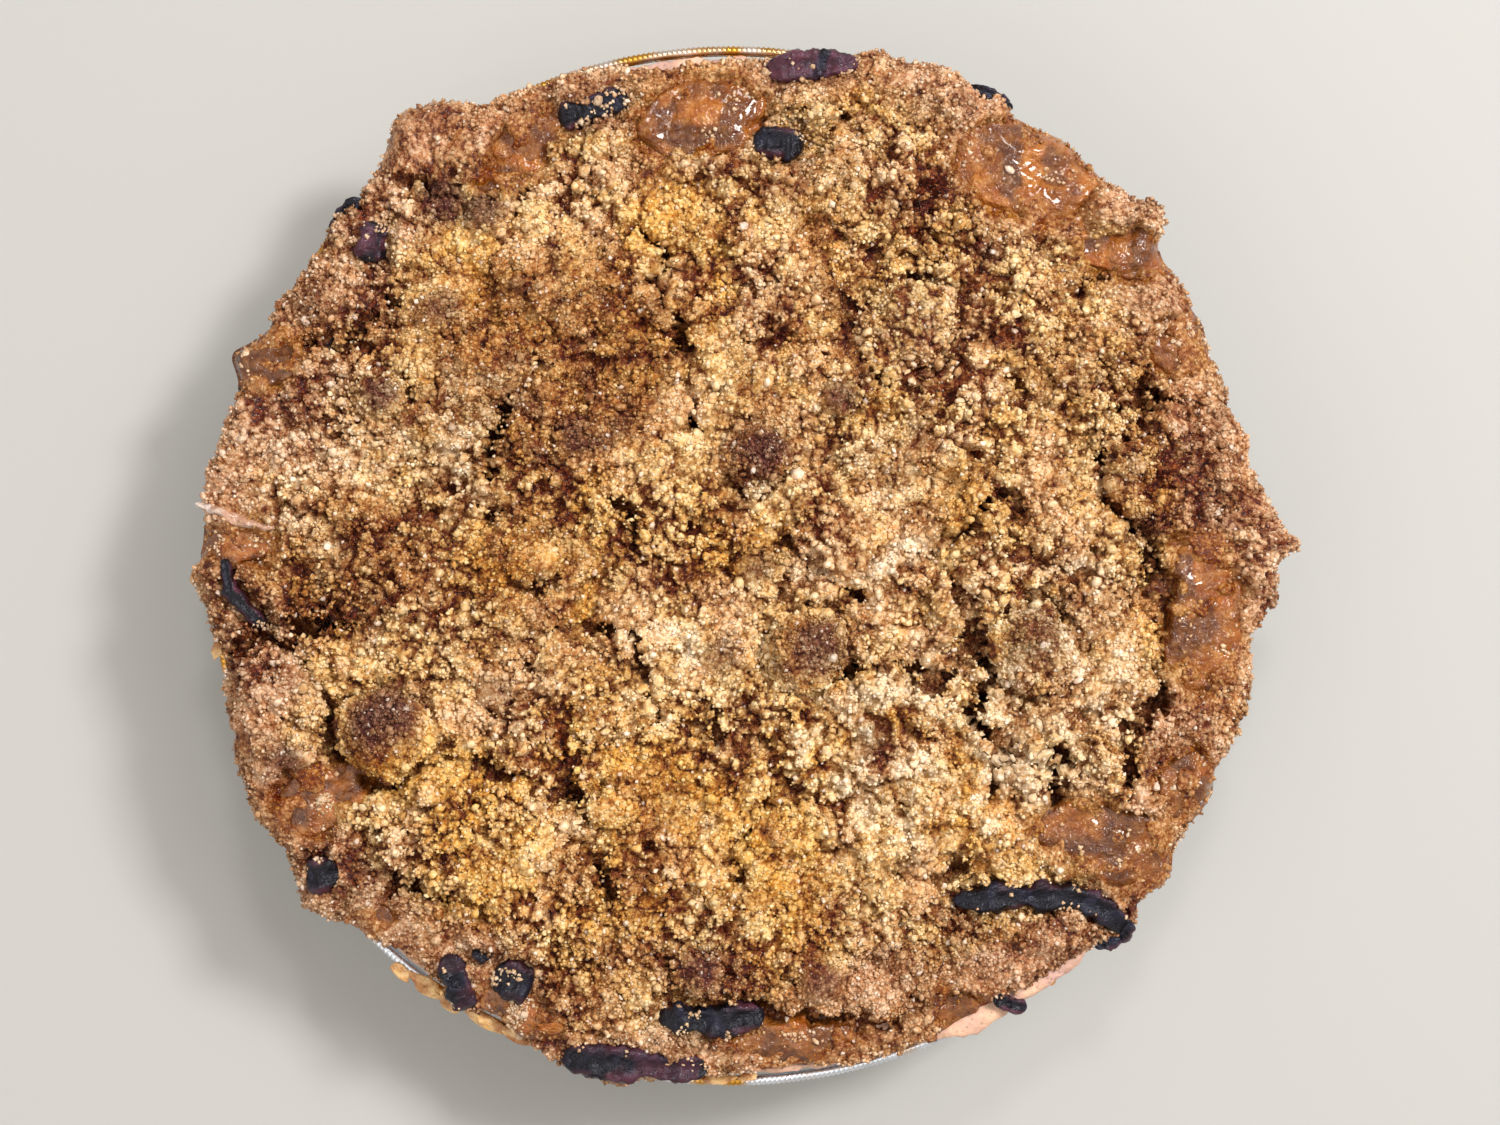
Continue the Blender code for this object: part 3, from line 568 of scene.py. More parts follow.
def piece(name, points, faces, tint, slot, replaces=(), **attributes):
    """A smooth mesh from points in millimetres, in its slot's look, riding on the one body."""
    faces = np.asarray(faces, np.int32)
    mesh = bpy.data.meshes.new(name)
    mesh.vertices.add(len(points))
    mesh.vertices.foreach_set("co", (np.asarray(points) * MM).astype(np.float32).ravel())
    mesh.loops.add(faces.size)
    mesh.loops.foreach_set("vertex_index", faces.ravel())
    mesh.polygons.add(len(faces))
    mesh.polygons.foreach_set("loop_start", np.arange(0, faces.size, faces.shape[1], dtype=np.int32))
    mesh.update(calc_edges=True)
    mesh.shade_smooth()
    colours = mesh.color_attributes.new("tint", "FLOAT_COLOR", "POINT")
    rgba = np.ones((len(points), 4), np.float32)
    rgba[:, :3] = np.clip(tint, 0, 1)
    colours.data.foreach_set("color", rgba.ravel())
    for key, values in attributes.items():
        made = mesh.attributes.new(key, "FLOAT", "POINT")
        made.data.foreach_set("value", np.asarray(values, np.float32))
    obj = bpy.data.objects.new(name, mesh)
    bpy.context.scene.collection.objects.link(obj)
    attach(obj, "root")
    if replaces:
        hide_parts(*replaces)
    mesh.materials.append(bpy.data.materials[f"{slot}_look"])


def round_grid(values, columns):
    """A value and an angle for each point of a grid whose columns go once round."""
    angle = np.linspace(0, 2 * math.pi, columns, endpoint=False)
    return [part.ravel() for part in np.meshgrid(values, angle, indexing="ij")]


def grid_faces(rows, columns, closed=False):
    i, j = np.meshgrid(np.arange(rows - 1), np.arange(columns - (not closed)), indexing="ij")
    after = (j + 1) % columns
    corners = (i * columns + j, i * columns + after, (i + 1) * columns + after, (i + 1) * columns + j)
    return np.stack(corners, axis=-1).reshape(-1, 4)


def grid_normals(points, rows, columns, closed=False):
    """Unit normals of a grid of points, for the order of corners that grid_faces gives."""
    grid = points.reshape(rows, columns, 3)
    if closed:
        along = np.roll(grid, -1, axis=1) - np.roll(grid, 1, axis=1)
    else:
        along = np.gradient(grid, axis=1)
    across = np.gradient(grid, axis=0)
    normal = np.cross(along, across).reshape(-1, 3)
    return normal / np.maximum(np.linalg.norm(normal, axis=1), 1e-9)[:, None]


def crumble_middle():
    """A square grid cut to a circle: points, normals and faces."""
    side = np.arange(-PATCH_R, PATCH_R + PATCH_STEP, PATCH_STEP)
    n = len(side)
    gx, gy = np.meshgrid(side, side)
    near = (gx**2 + gy**2 < PATCH_R**2).ravel()
    x, y = gx.ravel(), gy.ravel()
    z = np.full(n * n, MOUND_EDGE)
    z[near] = np.maximum(mound(x[near], y[near]) + relief(x[near], y[near]), FILLING_TOP + 2.5)
    points = np.column_stack((x, y, z))
    normal = grid_normals(points, n, n)
    faces = grid_faces(n, n)
    faces = faces[near[faces].all(axis=1)]
    used = np.unique(faces)
    number = np.zeros(n * n, int)
    number[used] = np.arange(len(used))
    return points[used], normal[used], number[faces]


def crumble_edge():
    """Rings from inside the patch out over the rolled edge, down the lip and back under it."""
    angle = np.linspace(0, 2 * math.pi, EDGE_STEPS, endpoint=False)
    reach = outline(angle)
    low = edge_height(reach)
    rings = []
    for share in np.linspace(0, 1, 36, endpoint=False):
        r = (PATCH_R - 1.5) * (1 - share) + (reach - ROLL) * share
        rings.append((r, dome_height(r)))
    for turn in np.linspace(0, math.pi / 2, 13):
        r = reach - ROLL + ROLL * math.sin(turn)
        rings.append((r, low + (dome_height(r) - low) * math.cos(turn)))
    on_top = len(rings)
    for back, down in ((0.1, 0.9), (0.4, 1.8), (1.2, 2.8), (2.5, 3.5), (4.5, 3.2), (7.0, 2.4)):
        rings.append((reach - back, low - LIP * down / 3.5))
    r, z = (np.array(part).reshape(-1) for part in zip(*rings))
    a = np.tile(angle, len(rings))
    x, y = r * np.cos(a), r * np.sin(a)
    all_reach = np.tile(reach, len(rings))
    top = np.arange(len(rings)).repeat(EDGE_STEPS) < on_top
    inner = ease((all_reach - r) / ROLL)
    z = z + top * relief(x, y) * (0.25 + 0.75 * inner) * ease((all_reach - r + 1) / 2)
    z = np.where(top & (r < all_reach - ROLL), np.maximum(z, CASE_TOP + 0.6), z)
    points = np.column_stack((x, y, z))
    normal = grid_normals(points, len(rings), EDGE_STEPS, closed=True)
    normal = -normal if normal[EDGE_STEPS, 2] < 0 else normal
    return points, normal, grid_faces(len(rings), EDGE_STEPS, closed=True)[:, ::-1]


def ball_shape(subdivisions):
    """Points and triangles of a ball of radius 1. None gives an octahedron."""
    if subdivisions is None:
        points = np.vstack((np.eye(3), -np.eye(3)))
        faces = [(0, 1, 2), (1, 3, 2), (3, 4, 2), (4, 0, 2), (1, 0, 5), (3, 1, 5), (4, 3, 5), (0, 4, 5)]
        return points, np.array(faces)
    shape = bmesh.new()
    bmesh.ops.create_icosphere(shape, subdivisions=subdivisions, radius=1)
    points = np.array([v.co for v in shape.verts])
    faces = np.array([[v.index for v in f.verts] for f in shape.faces])
    shape.free()
    return points, faces


def clump_balls():
    """The round clumps: flattened balls that stand on the relief."""
    points, faces, normals, start = [], [], [], 0
    for table, finest in ((CLUMPS, 5), (NUGGETS, 4)):
        for x, y, radius in table:
            ball, triangles = ball_shape(finest if radius > 6 else finest - 1)
            at = np.array([x]), np.array([y])
            z = float((mound(*at) + relief(*at))[0])
            centre = np.array((x, y, z - (0 if table is CLUMPS else 0.25 * radius)))
            knobbly = 1 + 0.16 * grit(ball * radius + centre, 0.8 * radius, 31)[:, None]
            points.append(ball * radius * knobbly * (1, 1, CLUMP_FLATNESS) + centre)
            unit = ball / (1, 1, CLUMP_FLATNESS)
            normals.append(unit / np.linalg.norm(unit, axis=1)[:, None])
            faces.append(triangles + start)
            start += len(ball)
    return np.vstack(points), np.vstack(normals), np.vstack(faces)


def grain_set(count, subdivisions, radii, places, chance, rng):
    """Jittered grains on places drawn by chance: points, triangles, colours with painted light paler on their
    tops, and how soaked they are.
    """
    points, normals, colours, soak = places
    ball, triangles = ball_shape(subdivisions)
    picked = rng.choice(len(points), count, replace=False, p=chance / chance.sum())
    typical, spread, least, most = radii
    radius = np.clip(rng.lognormal(math.log(typical), spread, count), least, most)
    size = radius[:, None] * rng.uniform(0.65, 1.3, (count, 3))
    turn = np.linalg.qr(rng.normal(size=(count, 3, 3)))[0]
    turn[:, 0] *= np.sign(np.linalg.det(turn))[:, None]
    shapes = ball[None] * (1 + rng.uniform(-0.3, 0.3, (count, len(ball), 1))) * size[:, None]
    shapes = np.einsum("nij,nkj->nki", turn, shapes)
    # Painted light: each grain is paler towards its top and darker towards its underside
    top = ease(0.45 + 0.6 * shapes[:, :, 2] / radius[:, None])[..., None]
    centre = points[picked] + normals[picked] * (radius * rng.uniform(-0.35, 0.45, count))[:, None]
    shapes = shapes + (centre + rng.uniform(-0.25, 0.25, (count, 3)))[:, None]
    tint = colours[picked] ** rng.uniform(0.84, 1.18, (count, 1))
    tint = mix(tint, FLOUR, (rng.random(count) > 0.95) * 0.50)
    tint = mix(tint, BROWN * 0.7, (rng.random(count) > 0.95) * 0.5)
    return shapes, triangles, tint[:, None] ** (1.20 - 0.44 * top), soak[picked]


def grains(places, chance, rng):
    """Coarse and fine grains, each in pieces that are joined meshes."""
    for label, pieces, count, subdivisions, radii in GRAINS:
        shapes, triangles, tint, soak = grain_set(count, subdivisions, radii, places, chance, rng)
        corners = shapes.shape[1]
        group = rng.integers(0, pieces, count)
        for g in range(pieces):
            own = group == g
            faces = (triangles + corners * np.arange(own.sum())[:, None, None]).reshape(-1, 3)
            piece(
                f"crumble_{label}_{g + 1}", shapes[own].reshape(-1, 3), faces,
                tint[own].reshape(-1, 3), "crumble", soak=soak[own].repeat(corners),
            )


def crumble(strays):
    """The whole topping: the mound's middle and edge, the clumps, and loose grains over all of them.

    Strays are points and normals on syrup and slices, where single crumbs lie.
    """
    rng = np.random.default_rng(SEED + 2)
    every = []
    for name, (points, normal, faces), replaced, amount in (
        ("crumble_middle", crumble_middle(), ("crumble",), 1.0),
        ("crumble_edge", crumble_edge(), ("crumble",), 1.0),
        ("crumble_clumps", clump_balls(), (), 0.5),
    ):
        out, colour, soak, deep = topping(points, on_clump=name == "crumble_clumps")
        points = points + normal * (amount * out)[:, None]
        piece(name, points, faces, colour, "crumble", replaced, soak=soak)
        x, y, _ = points.T
        dry = (1 - 0.85 * wetness(x, y)) * (1 - 0.75 * ovals(x, y, DAMP))
        seen = (normal[:, 2] > -0.3) * (1 - 0.93 * deep) * dry
        every.append((points, normal, colour, soak, seen))
    points, normal = strays
    _, colour, soak, _ = topping(points)
    clustered = ease(1.4 * grit(points, 5.0, 91) - 0.45) * 0.2
    every.append((points, normal, mix(colour, TAN, np.full(len(points), 0.6)), soak * 0.5, clustered))
    points, normal, colour, soak, seen = (np.concatenate(part) for part in zip(*every))
    grains((points, normal, colour, soak), seen, rng)


# ---- syrup and slices


def numbered(label, forms, node=None):
    """Each form with its piece's name and the nodes that the piece replaces."""
    return [
        (f"{label}_{i:02d}", form, (f"{node}_{i:02d}",) if node else ()) for i, form in enumerate(forms, 1)
    ]


def in_oval(oval, along, across):
    """The place this far along and across an oval from its middle."""
    cx, cy, _, _, turn = oval
    c, s = math.cos(math.radians(turn)), math.sin(math.radians(turn))
    return cx + along * c - across * s, cy + along * s + across * c


def syrup_pools():
    """The pools and the small glazes. Gives back the pools' points and normals."""
    strays = []
    table = numbered("syrup_pool", POOLS, "syrup") + numbered("glaze", GLAZES)
    for i, (name, pool, replaced) in enumerate(table, 1):
        half_length, half_width = pool[2:4]
        rings, steps = (24, 76) if replaced else (9, 28)
        share, angle = round_grid(np.linspace(0.001, 1.40, rings), steps)
        rng = np.random.default_rng(100 + i)
        wobble = 1 + sum(
            rng.uniform(-0.06, 0.06) * np.sin(k * angle + rng.uniform(0, 6.3)) for k in (2, 3, 4, 5, 7)
        )
        along = share * wobble * half_length * np.cos(angle)
        across = share * wobble * half_width * np.sin(angle)
        x, y = in_oval(pool, along, across)
        held = np.minimum(1, (outline(np.arctan2(y, x)) + 0.8) / np.hypot(x, y))
        x, y = x * held, y * held
        flat = on_plane(x, y)
        level = mound(x, y) - POOL_SINK
        rise = POOL_RISE * min(1, half_width / 4)
        domed = 0.6 * rise * ease(1.25 - 0.95 * share)
        wavy = 0.50 * grit(flat, 6.5, 200 + i) + 0.20 * grit(flat, 2.2, 230 + i)
        wavy = wavy * min(1, half_width / 5) * ease(4 * (1.38 - share))
        z = level + 0.35 + domed + wavy - 2.8 * ease((share - 1.12) / 0.26) - crack_depth(x, y)
        points = np.column_stack((x, y, z))
        if replaced:
            strays.append((points, grid_normals(points, rings, steps, closed=True)))
        tint = mix(CARAMEL, AMBER, 0.35 + 0.8 * grit(flat, 7, 260 + i))
        tint = mix(tint, TOFFEE, np.minimum(0.20 + 0.9 * grit(flat, 5, 280 + i), 0.7))
        piece(name, points, grid_faces(rings, steps, closed=True), tint, "syrup", replaced)
    return [np.vstack(part) for part in zip(*strays)]


def drips():
    """Thin closed films of set syrup that lie over the bead and hang a little past it."""
    rows, columns = 13, 44
    tilt, angle = round_grid(np.linspace(0.001, math.pi - 0.001, rows), columns)
    around = on_plane(3 * np.cos(angle), 3 * np.sin(angle))
    for i, drip in enumerate(DRIPS, 1):
        half_length, half_width = drip[2:4]
        reach = np.sin(tilt) ** 0.6 * (1 + 0.28 * grit(around, 3.2, 500 + i))
        x, y = in_oval(drip, reach * half_length * np.cos(angle), reach * half_width * np.sin(angle))
        past = np.clip(np.hypot(x, y) - RIM_R + BEAD_R, 0, None)
        flat = on_plane(x, y)
        z = RIM_TOP + 1.1 - 0.45 * past + 0.45 * np.cos(tilt) + 0.18 * grit(flat, 1.8, 520 + i)
        tint = mix(GOLD, AMBER, np.minimum(0.35 + 0.9 * grit(flat, 3.0, 540 + i), 0.8))
        faces = grid_faces(rows, columns, closed=True)
        piece(f"drip_{i:02d}", np.column_stack((x, y, z)), faces, tint, "syrup")


def syrup_fold():
    """The pale skin that stands up in a fold at the left edge."""
    rows, columns = 40, 14
    share, turn = round_grid(np.linspace(0, 1, rows), columns)
    px, py = along_path(FOLD, share)
    thick = 1.15 * np.clip(1 - np.abs(2 * share - 1) ** 4, 0.001, 1) ** 0.5
    z = np.maximum(mound(px, py), TIN_DEPTH + 4) + 1.0
    points = np.column_stack(
        (px + 0.3 * np.cos(turn) * thick, py + np.cos(turn) * thick, z + 1.5 * np.sin(turn) * thick)
    )
    points = points + (0.35 * grit(points, 2.2, 320) * thick)[:, None]
    tint = mix(CREAM, AMBER, np.minimum(0.2 + 0.8 * grit(points, 4, 321), 0.7))
    piece("syrup_fold", points, grid_faces(rows, columns, closed=True)[:, ::-1], tint, "syrup")


def along_path(path, share):
    """The point at a share of a path's length. Past its ends the path runs straight on."""
    path = np.array(path, float)
    path = np.vstack((2 * path[0] - path[1], path, 2 * path[-1] - path[-2]))
    walked = np.concatenate(([0], np.cumsum(np.hypot(*np.diff(path, axis=0).T))))
    stations = (walked - walked[1]) / (walked[-2] - walked[1])
    return np.array([np.interp(share, stations, path[:, 0]), np.interp(share, stations, path[:, 1])])


def fruit_slices():
    """Scorched slices and peel, each a creased, dished strip on edge. Gives back points and normals."""
    rows, columns = 52, 30
    share, turn = round_grid(np.linspace(0, 1, rows), columns)
    c, s = np.cos(turn), np.sin(turn)
    end = np.clip(1 - np.abs(2 * share - 1) ** 5, 0.0004, 1) ** 0.6
    strays = []
    table = numbered("fruit_slice", SLICES, "slice") + numbered("peel", PEELS)
    for i, (name, (width, height, path), replaced) in enumerate(table, 1):
        px, py = along_path(path, share)
        dx, dy = along_path(path, share + 0.1) - along_path(path, share - 0.1)
        run = np.hypot(dx, dy)
        wide = width / 2 * end * (1.05 + 0.2 * grit(on_plane(px, py), 4.0, 400 + i))
        side = np.sign(c) * np.abs(c) ** 0.7 * wide
        up = np.sign(s) * np.abs(s) ** 0.6 * height / 2 * end
        dish = 1.5 * np.clip(s, 0, 1) * bell(side, width * 0.26) * min(1, width / 6)
        z = mound(px, py) - (0.5 - SLICE_PROUD) * height + up - dish * end + 0.7
        points = np.column_stack((px - side * dy / run, py + side * dx / run, z))
        crease = (0.50 * grit(points, 3.0, 430 + i) + 0.30 * grit(points, 1.2, 460 + i)) * min(1, width / 5)
        away = np.column_stack((-c * dy / run, c * dx / run, s))
        points = points + away * (crease * end)[:, None]
        if replaced:
            on_top = points[s > 0.1]
            strays.append((on_top, np.tile((0.0, 0.0, 1.0), (len(on_top), 1))))
        edge = ease((np.abs(side) / (width / 2) - 0.45) / 0.4) * (s > 0)
        tint = mix(CHAR, PEEL, edge * np.clip(0.35 + 0.9 * grit(points, 5, 350 + i), 0, 1) * 0.8)
        tint = mix(tint, NAVY, np.minimum(0.5 * grit(points, 3, 370 + i), 0.4))
        tint = mix(tint, PEEL, BROWNISH.get(name, 0.0) * ease(0.6 + grit(points, 5, 390 + i)))
        piece(name, points, grid_faces(rows, columns, closed=True)[:, ::-1], tint, "char", replaced)
    return [np.vstack(part) for part in zip(*strays)]


# ---- tin and pastry


def turned(profile, steps):
    """Radii, angles, heights and faces of a profile of (radius, height) turned about Z."""
    angle = np.linspace(0, 2 * math.pi, steps, endpoint=False)
    r, z = np.array(profile).T
    r, z = r.repeat(steps), z.repeat(steps)
    a = np.tile(angle, len(profile))
    return r, a, z, grid_faces(len(profile), steps, closed=True)


def baked_gold(angle, points):
    """How golden the foil is, where syrup baked on."""
    gold = np.zeros(len(points))
    for bearing, half_width, edge, amount in BAKED_GOLD:
        gold = np.maximum(gold, amount * ease((half_width - np.abs(turn_between(angle, bearing))) / edge))
    return gold + 0.35 * drift(points, 7, 51) - 0.1


def foil():
    """The tin's pressed body, and its rolled bead with fine crimps."""
    wall = [(TIN_BASE_R + 0.9 + WALL_RUN * k / 12, SHEET + 1.6 + WALL_RISE * k / 12) for k in range(13)]
    inside = [(AXIS_R, SHEET), (60, SHEET), (TIN_BASE_R - 1.5, SHEET)] + wall[::3]
    bead_r, bead_z = RIM_R - BEAD_R, TIN_DEPTH + SHEET / 2
    flange = [(TIN_TOP_R + 0.8, RIM_TOP), (FLANGE_MIDDLE_R, RIM_TOP - 0.1), (FLANGE_R, RIM_TOP)]
    under = [(FLANGE_R, TIN_DEPTH), (FLANGE_MIDDLE_R, TIN_DEPTH - 0.1), (TIN_TOP_R + 1.4, TIN_DEPTH)]
    outer = [(rr + 0.7, zz - 0.5) for rr, zz in wall[::-1]]
    base = [(TIN_BASE_R - 0.9, 0), *BASE_RING, (AXIS_R, 0)]
    r, a, z, faces = turned(inside + flange + under + outer + base, TURN_STEPS)
    rising = (z > SHEET) & (r < TIN_TOP_R + 1) & (z < TIN_DEPTH - 0.2)
    pleat = PLEAT_DEPTH * np.cos(PLEATS * a) * z / TIN_DEPTH
    flute = FLUTE_DEPTH * np.cos(FLUTES * a) * z / TIN_DEPTH
    r = r + rising * (pleat + flute)
    points = np.column_stack((r * np.cos(a), r * np.sin(a), z))
    dent = 0.10 * drift(points, 14, 61) + 0.05 * drift(points, 4, 62)
    points[:, 2] += dent * (z > 1.2)
    tint = mix(SILVER, GOLD_FOIL, baked_gold(a, points) * (z > 30))
    piece("foil_body", points, faces[:, ::-1], tint, "foil", ("foil_tin",))
    ring = [
        (bead_r + BEAD_R * math.cos(math.radians(t)), bead_z + BEAD_R * math.sin(math.radians(t)))
        for t in range(190, -171, -40)
    ]
    r, a, z, faces = turned(ring, 3 * CRIMPS)
    crimp = CRIMP_DEPTH * np.cos(CRIMPS * a) * ease((r - 119.4) / 0.6)
    r, z = r + crimp, z + crimp * (z > bead_z)
    points = np.column_stack((r * np.cos(a), r * np.sin(a), z))
    tint = mix(SILVER, GOLD_FOIL, baked_gold(a, points))
    piece("foil_bead", points, faces[:, ::-1], tint, "foil")


def pastry():
    """The case, with a wavy edge that stands out where the crumble leaves it bare."""
    wall_top = TIN_TOP_R - 0.9 - GAP - PLEAT_DEPTH
    profile = [
        (AXIS_R, SHEET + GAP + PASTRY), (TIN_BASE_R - 2 - PASTRY, SHEET + GAP + PASTRY),
        (wall_top - PASTRY, TIN_DEPTH + 1.5), (wall_top - PASTRY + 1.0, CASE_TOP - 0.8),
        (wall_top - PASTRY + 2.2, CASE_TOP), (111, CASE_TOP + 0.1), (113, CASE_TOP), (115, CASE_TOP - 0.05),
        (CASE_EDGE_R - 2.4, CASE_TOP), (CASE_EDGE_R - 1.2, CASE_TOP - 0.25),
        (CASE_EDGE_R - 0.3, CASE_TOP - 0.8), (CASE_EDGE_R, CASE_TOP - 1.4),
        (CASE_EDGE_R - 0.2, CASE_TOP - 2.1), (CASE_EDGE_R - 1.2, TIN_DEPTH + 1.3),
        (wall_top + 1.6, TIN_DEPTH + 1.0), (wall_top, TIN_DEPTH - 0.8), (TIN_BASE_R - 0.3, SHEET + 1.9),
        (TIN_BASE_R - 2, SHEET + GAP), (AXIS_R, SHEET + GAP),
    ]
    r, a, z, faces = turned(profile, TURN_STEPS)
    bearing, half_width, past = OPEN_EDGE
    bare = ease(1.6 * (1 - np.abs(turn_between(a, bearing)) / half_width))
    outer = ease((r - CASE_EDGE_R + 6) / 4)
    wave = CASE_WAVE * np.sin(9 * a) * np.sin(5 * a + 2)
    r = r + outer * (past * bare + wave)
    z = z + (z > CASE_TOP - 1.0) * wave + outer * bare * 0.8
    points = np.column_stack((r * np.cos(a), r * np.sin(a), z))
    knobbly = 0.35 * drift(points, 7, 71) + 0.2 * drift(points, 2.6, 72)
    points = points + (outer * knobbly)[:, None] * np.column_stack((np.cos(a), np.sin(a), 0.5 + 0 * a))
    tint = mix(DOUGH, SOAKED, 0.35 + 0.5 * drift(points, 11, 73))
    piece("pastry_shell", points, faces[:, ::-1], tint, "pastry", ("pastry_case",))


# ---- materials


class Look:
    """A material whose colour, gloss and bumps come from noise in the piece's own space."""

    def __init__(self, name):
        made = bpy.data.materials.new(name)
        made.use_nodes = True
        self.nodes, self.links = made.node_tree.nodes, made.node_tree.links
        self.shader = self.nodes["Principled BSDF"]
        self.place = self.add("ShaderNodeTexCoord", {}).outputs["Object"]

    def feed(self, socket, value):
        """Link what another node gives, or set a plain value."""
        if isinstance(value, bpy.types.NodeSocket):
            self.links.new(value, socket)
        else:
            socket.default_value = value

    def add(self, kind, inputs, **settings):
        node = self.nodes.new(kind)
        for key, value in settings.items():
            setattr(node, key, value)
        for key, value in inputs.items():
            self.feed(node.inputs[key], value)
        return node

    def noise(self, scale, detail=3.0, roughness=0.55):
        inputs = {"Scale": scale, "Detail": detail, "Roughness": roughness, "Vector": self.place}
        return self.add("ShaderNodeTexNoise", inputs).outputs["Fac"]

    def voronoi(self, scale):
        return self.add("ShaderNodeTexVoronoi", {"Scale": scale, "Vector": self.place}).outputs["Distance"]

    def ramp(self, source, low, high, to_low, to_high):
        inputs = {"From Min": low, "From Max": high, "To Min": to_low, "To Max": to_high, "Value": source}
        return self.add("ShaderNodeMapRange", inputs, clamp=True).outputs["Result"]

    def times(self, a, b):
        inputs = {"Vector": a, "Scale": b}
        return self.add("ShaderNodeVectorMath", inputs, operation="SCALE").outputs["Vector"]

    def gamma(self, colour, power):
        return self.add("ShaderNodeGamma", {"Color": colour, "Gamma": power}).outputs["Color"]

    def blend(self, a, b, share):
        node = self.add("ShaderNodeMix", {}, data_type="RGBA")
        first, second = (socket for socket in node.inputs if socket.type == "RGBA")
        self.feed(first, a)
        self.feed(second, b)
        self.feed(node.inputs["Factor"], share)
        return next(socket for socket in node.outputs if socket.type == "RGBA")

    def attribute(self, key, output="Color"):
        return self.add("ShaderNodeAttribute", {}, attribute_name=key).outputs[output]

    def to(self, socket, value):
        self.feed(self.shader.inputs[socket], value)

    def bumps(self, *layers):
        """Bumps on top of each other, each with its height, distance and strength."""
        below = {}
        for height, distance, strength in layers:
            inputs = {"Strength": strength, "Distance": distance, "Height": height, **below}
            below = {"Normal": self.add("ShaderNodeBump", inputs).outputs["Normal"]}
        self.to("Normal", below["Normal"])


def crumble_look():
    look = Look("crumble_look")
    varied = look.gamma(look.attribute("tint"), look.ramp(look.noise(1700, 4, 0.7), 0.34, 0.66, 1.30, 0.62))
    # Painted shade: darker towards the borders of the granule cells, paler at their middles
    granule_shaded = look.gamma(varied, look.ramp(look.voronoi(950), 0.30, 0.70, 0.84, 1.34))
    sugar = look.ramp(look.voronoi(1500), 0.08, 0.18, 0.75, 0.0)
    look.to("Base Color", look.blend(granule_shaded, SUGAR, sugar))
    look.to("Roughness", look.ramp(look.attribute("soak", "Fac"), 0.0, 1.0, 0.75, 0.14))
    look.to("Specular IOR Level", 0.3)
    look.bumps((look.voronoi(950), 0.0005, 0.6), (look.noise(2300, 3, 0.7), 0.0003, 0.7))


def syrup_look():
    look = Look("syrup_look")
    shade = look.ramp(look.noise(420, 4, 0.65), 0.32, 0.68, 1.35, 0.8)
    look.to("Base Color", look.gamma(look.attribute("tint"), shade))
    look.to("Roughness", look.ramp(look.noise(500, 2, 0.5), 0.4, 0.7, 0.07, 0.16))
    look.to("Subsurface Weight", 0.06)
    look.to("Subsurface Radius", (1.0, 0.4, 0.15))
    look.to("Subsurface Scale", 0.0012)
    look.to("Coat Weight", 0.35)
    look.to("Coat Roughness", 0.06)
    look.bumps((look.noise(300, 3, 0.6), 0.0024, 1.0), (look.noise(900, 2, 0.6), 0.00022, 0.8))


def char_look():
    look = Look("char_look")
    shade = look.ramp(look.noise(500, 4, 0.6), 0.3, 0.7, 0.5, 1.6)
    look.to("Base Color", look.times(look.attribute("tint"), shade))
    look.to("Roughness", look.ramp(look.noise(420, 3, 0.6), 0.35, 0.65, 0.16, 0.5))
    look.to("Specular IOR Level", 0.35)
    look.to("Specular Tint", (0.80, 0.84, 1.0, 1))
    look.bumps((look.noise(330, 4, 0.6), 0.0012, 0.9), (look.noise(1800, 2, 0.6), 0.0003, 0.6))


def foil_look():
    look = Look("foil_look")
    shade = look.ramp(look.noise(160, 3, 0.6), 0.3, 0.7, 0.85, 1.1)
    look.to("Base Color", look.times(look.attribute("tint"), shade))
    look.to("Metallic", 1.0)
    look.to("Roughness", look.ramp(look.noise(240, 3, 0.6), 0.35, 0.7, 0.2, 0.42))
    look.bumps((look.noise(420, 3, 0.6), 0.0003, 0.35))


def pastry_look():
    look = Look("pastry_look")
    # Painted shade: darker in the small pores
    pore_shade = look.ramp(look.voronoi(650), 0.12, 0.3, 0.65, 1.0)
    shade = look.ramp(look.noise(240, 4, 0.6), 0.3, 0.7, 0.75, 1.15)
    look.to("Base Color", look.times(look.times(look.attribute("tint"), shade), pore_shade))
    look.to("Roughness", look.ramp(look.noise(300, 3, 0.6), 0.3, 0.7, 0.35, 0.65))
    look.to("Subsurface Weight", 0.1)
    look.to("Subsurface Scale", 0.0015)
    look.bumps((look.voronoi(650), 0.0005, 0.5), (look.noise(900, 3, 0.6), 0.0004, 0.5))


def plain_look(name, colour, roughness):
    look = Look(name)
    look.to("Base Color", colour)
    look.to("Roughness", roughness)
    return bpy.data.materials[name]


# ---- stage


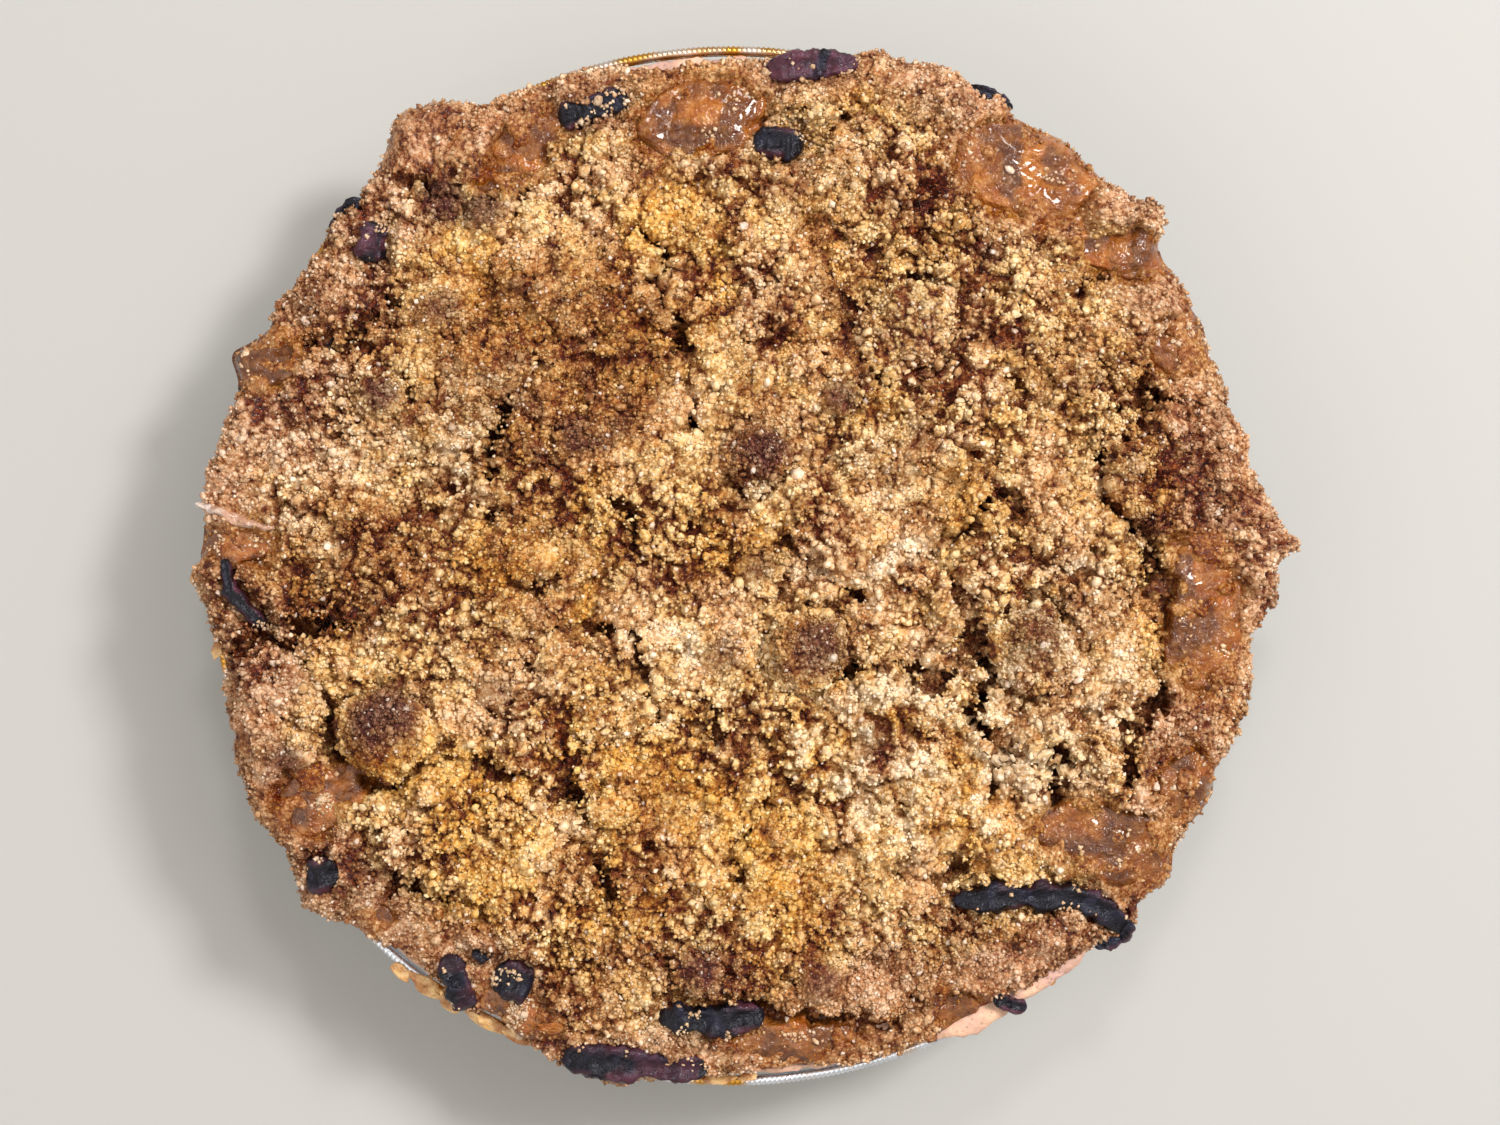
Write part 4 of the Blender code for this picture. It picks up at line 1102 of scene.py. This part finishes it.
def stage():
    scene = bpy.context.scene
    bpy.ops.mesh.primitive_plane_add(size=4, location=(0, 0, -0.0005))
    floor = bpy.context.object
    floor.name = "floor"
    floor.data.materials.append(plain_look("floor_look", FLOOR, 0.6))
    world = bpy.data.worlds.new("studio")
    world.use_nodes = True
    world.node_tree.nodes["Background"].inputs["Color"].default_value = WORLD_LIGHT
    world.node_tree.nodes["Background"].inputs["Strength"].default_value = WORLD_STRENGTH
    scene.world = world
    for name, place, size, power in LIGHTS:
        light = bpy.data.lights.new(name, "AREA")
        light.size, light.energy, light.color = size, power, LIGHT_COLOUR
        obj = bpy.data.objects.new(name, light)
        obj.location = place
        direction = -obj.location.normalized()
        obj.rotation_euler = direction.to_track_quat("-Z", "Y").to_euler()
        obj.visible_glossy = name != "key"
        scene.collection.objects.link(obj)
    lens = bpy.data.cameras.new("camera")
    lens.sensor_width, lens.lens = SENSOR, FOCAL
    lens.clip_start, lens.clip_end = 0.01, 10.0
    camera = bpy.data.objects.new("camera", lens)
    x, y = FRAME_MIDDLE
    camera.location = (x * MM, y * MM, (TIN_DEPTH + 2) * MM + FRAME_WIDTH * FOCAL / SENSOR)
    scene.collection.objects.link(camera)
    scene.camera = camera
    scene.view_settings.view_transform = "Standard"


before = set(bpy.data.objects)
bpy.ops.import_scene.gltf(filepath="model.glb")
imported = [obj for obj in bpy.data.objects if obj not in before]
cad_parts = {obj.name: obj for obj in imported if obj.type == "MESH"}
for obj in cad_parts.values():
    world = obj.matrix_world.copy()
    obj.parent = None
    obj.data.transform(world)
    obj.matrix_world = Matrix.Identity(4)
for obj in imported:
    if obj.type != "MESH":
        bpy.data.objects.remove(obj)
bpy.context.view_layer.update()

for make_look in (crumble_look, syrup_look, char_look, foil_look, pastry_look):
    make_look()
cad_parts["filling"].data.materials.clear()
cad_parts["filling"].data.materials.append(plain_look("filling_look", FRUIT, 0.4))

foil()
pastry()
pools = syrup_pools()
syrup_fold()
drips()
crumble([np.vstack(part) for part in zip(pools, fruit_slices())])
stage()
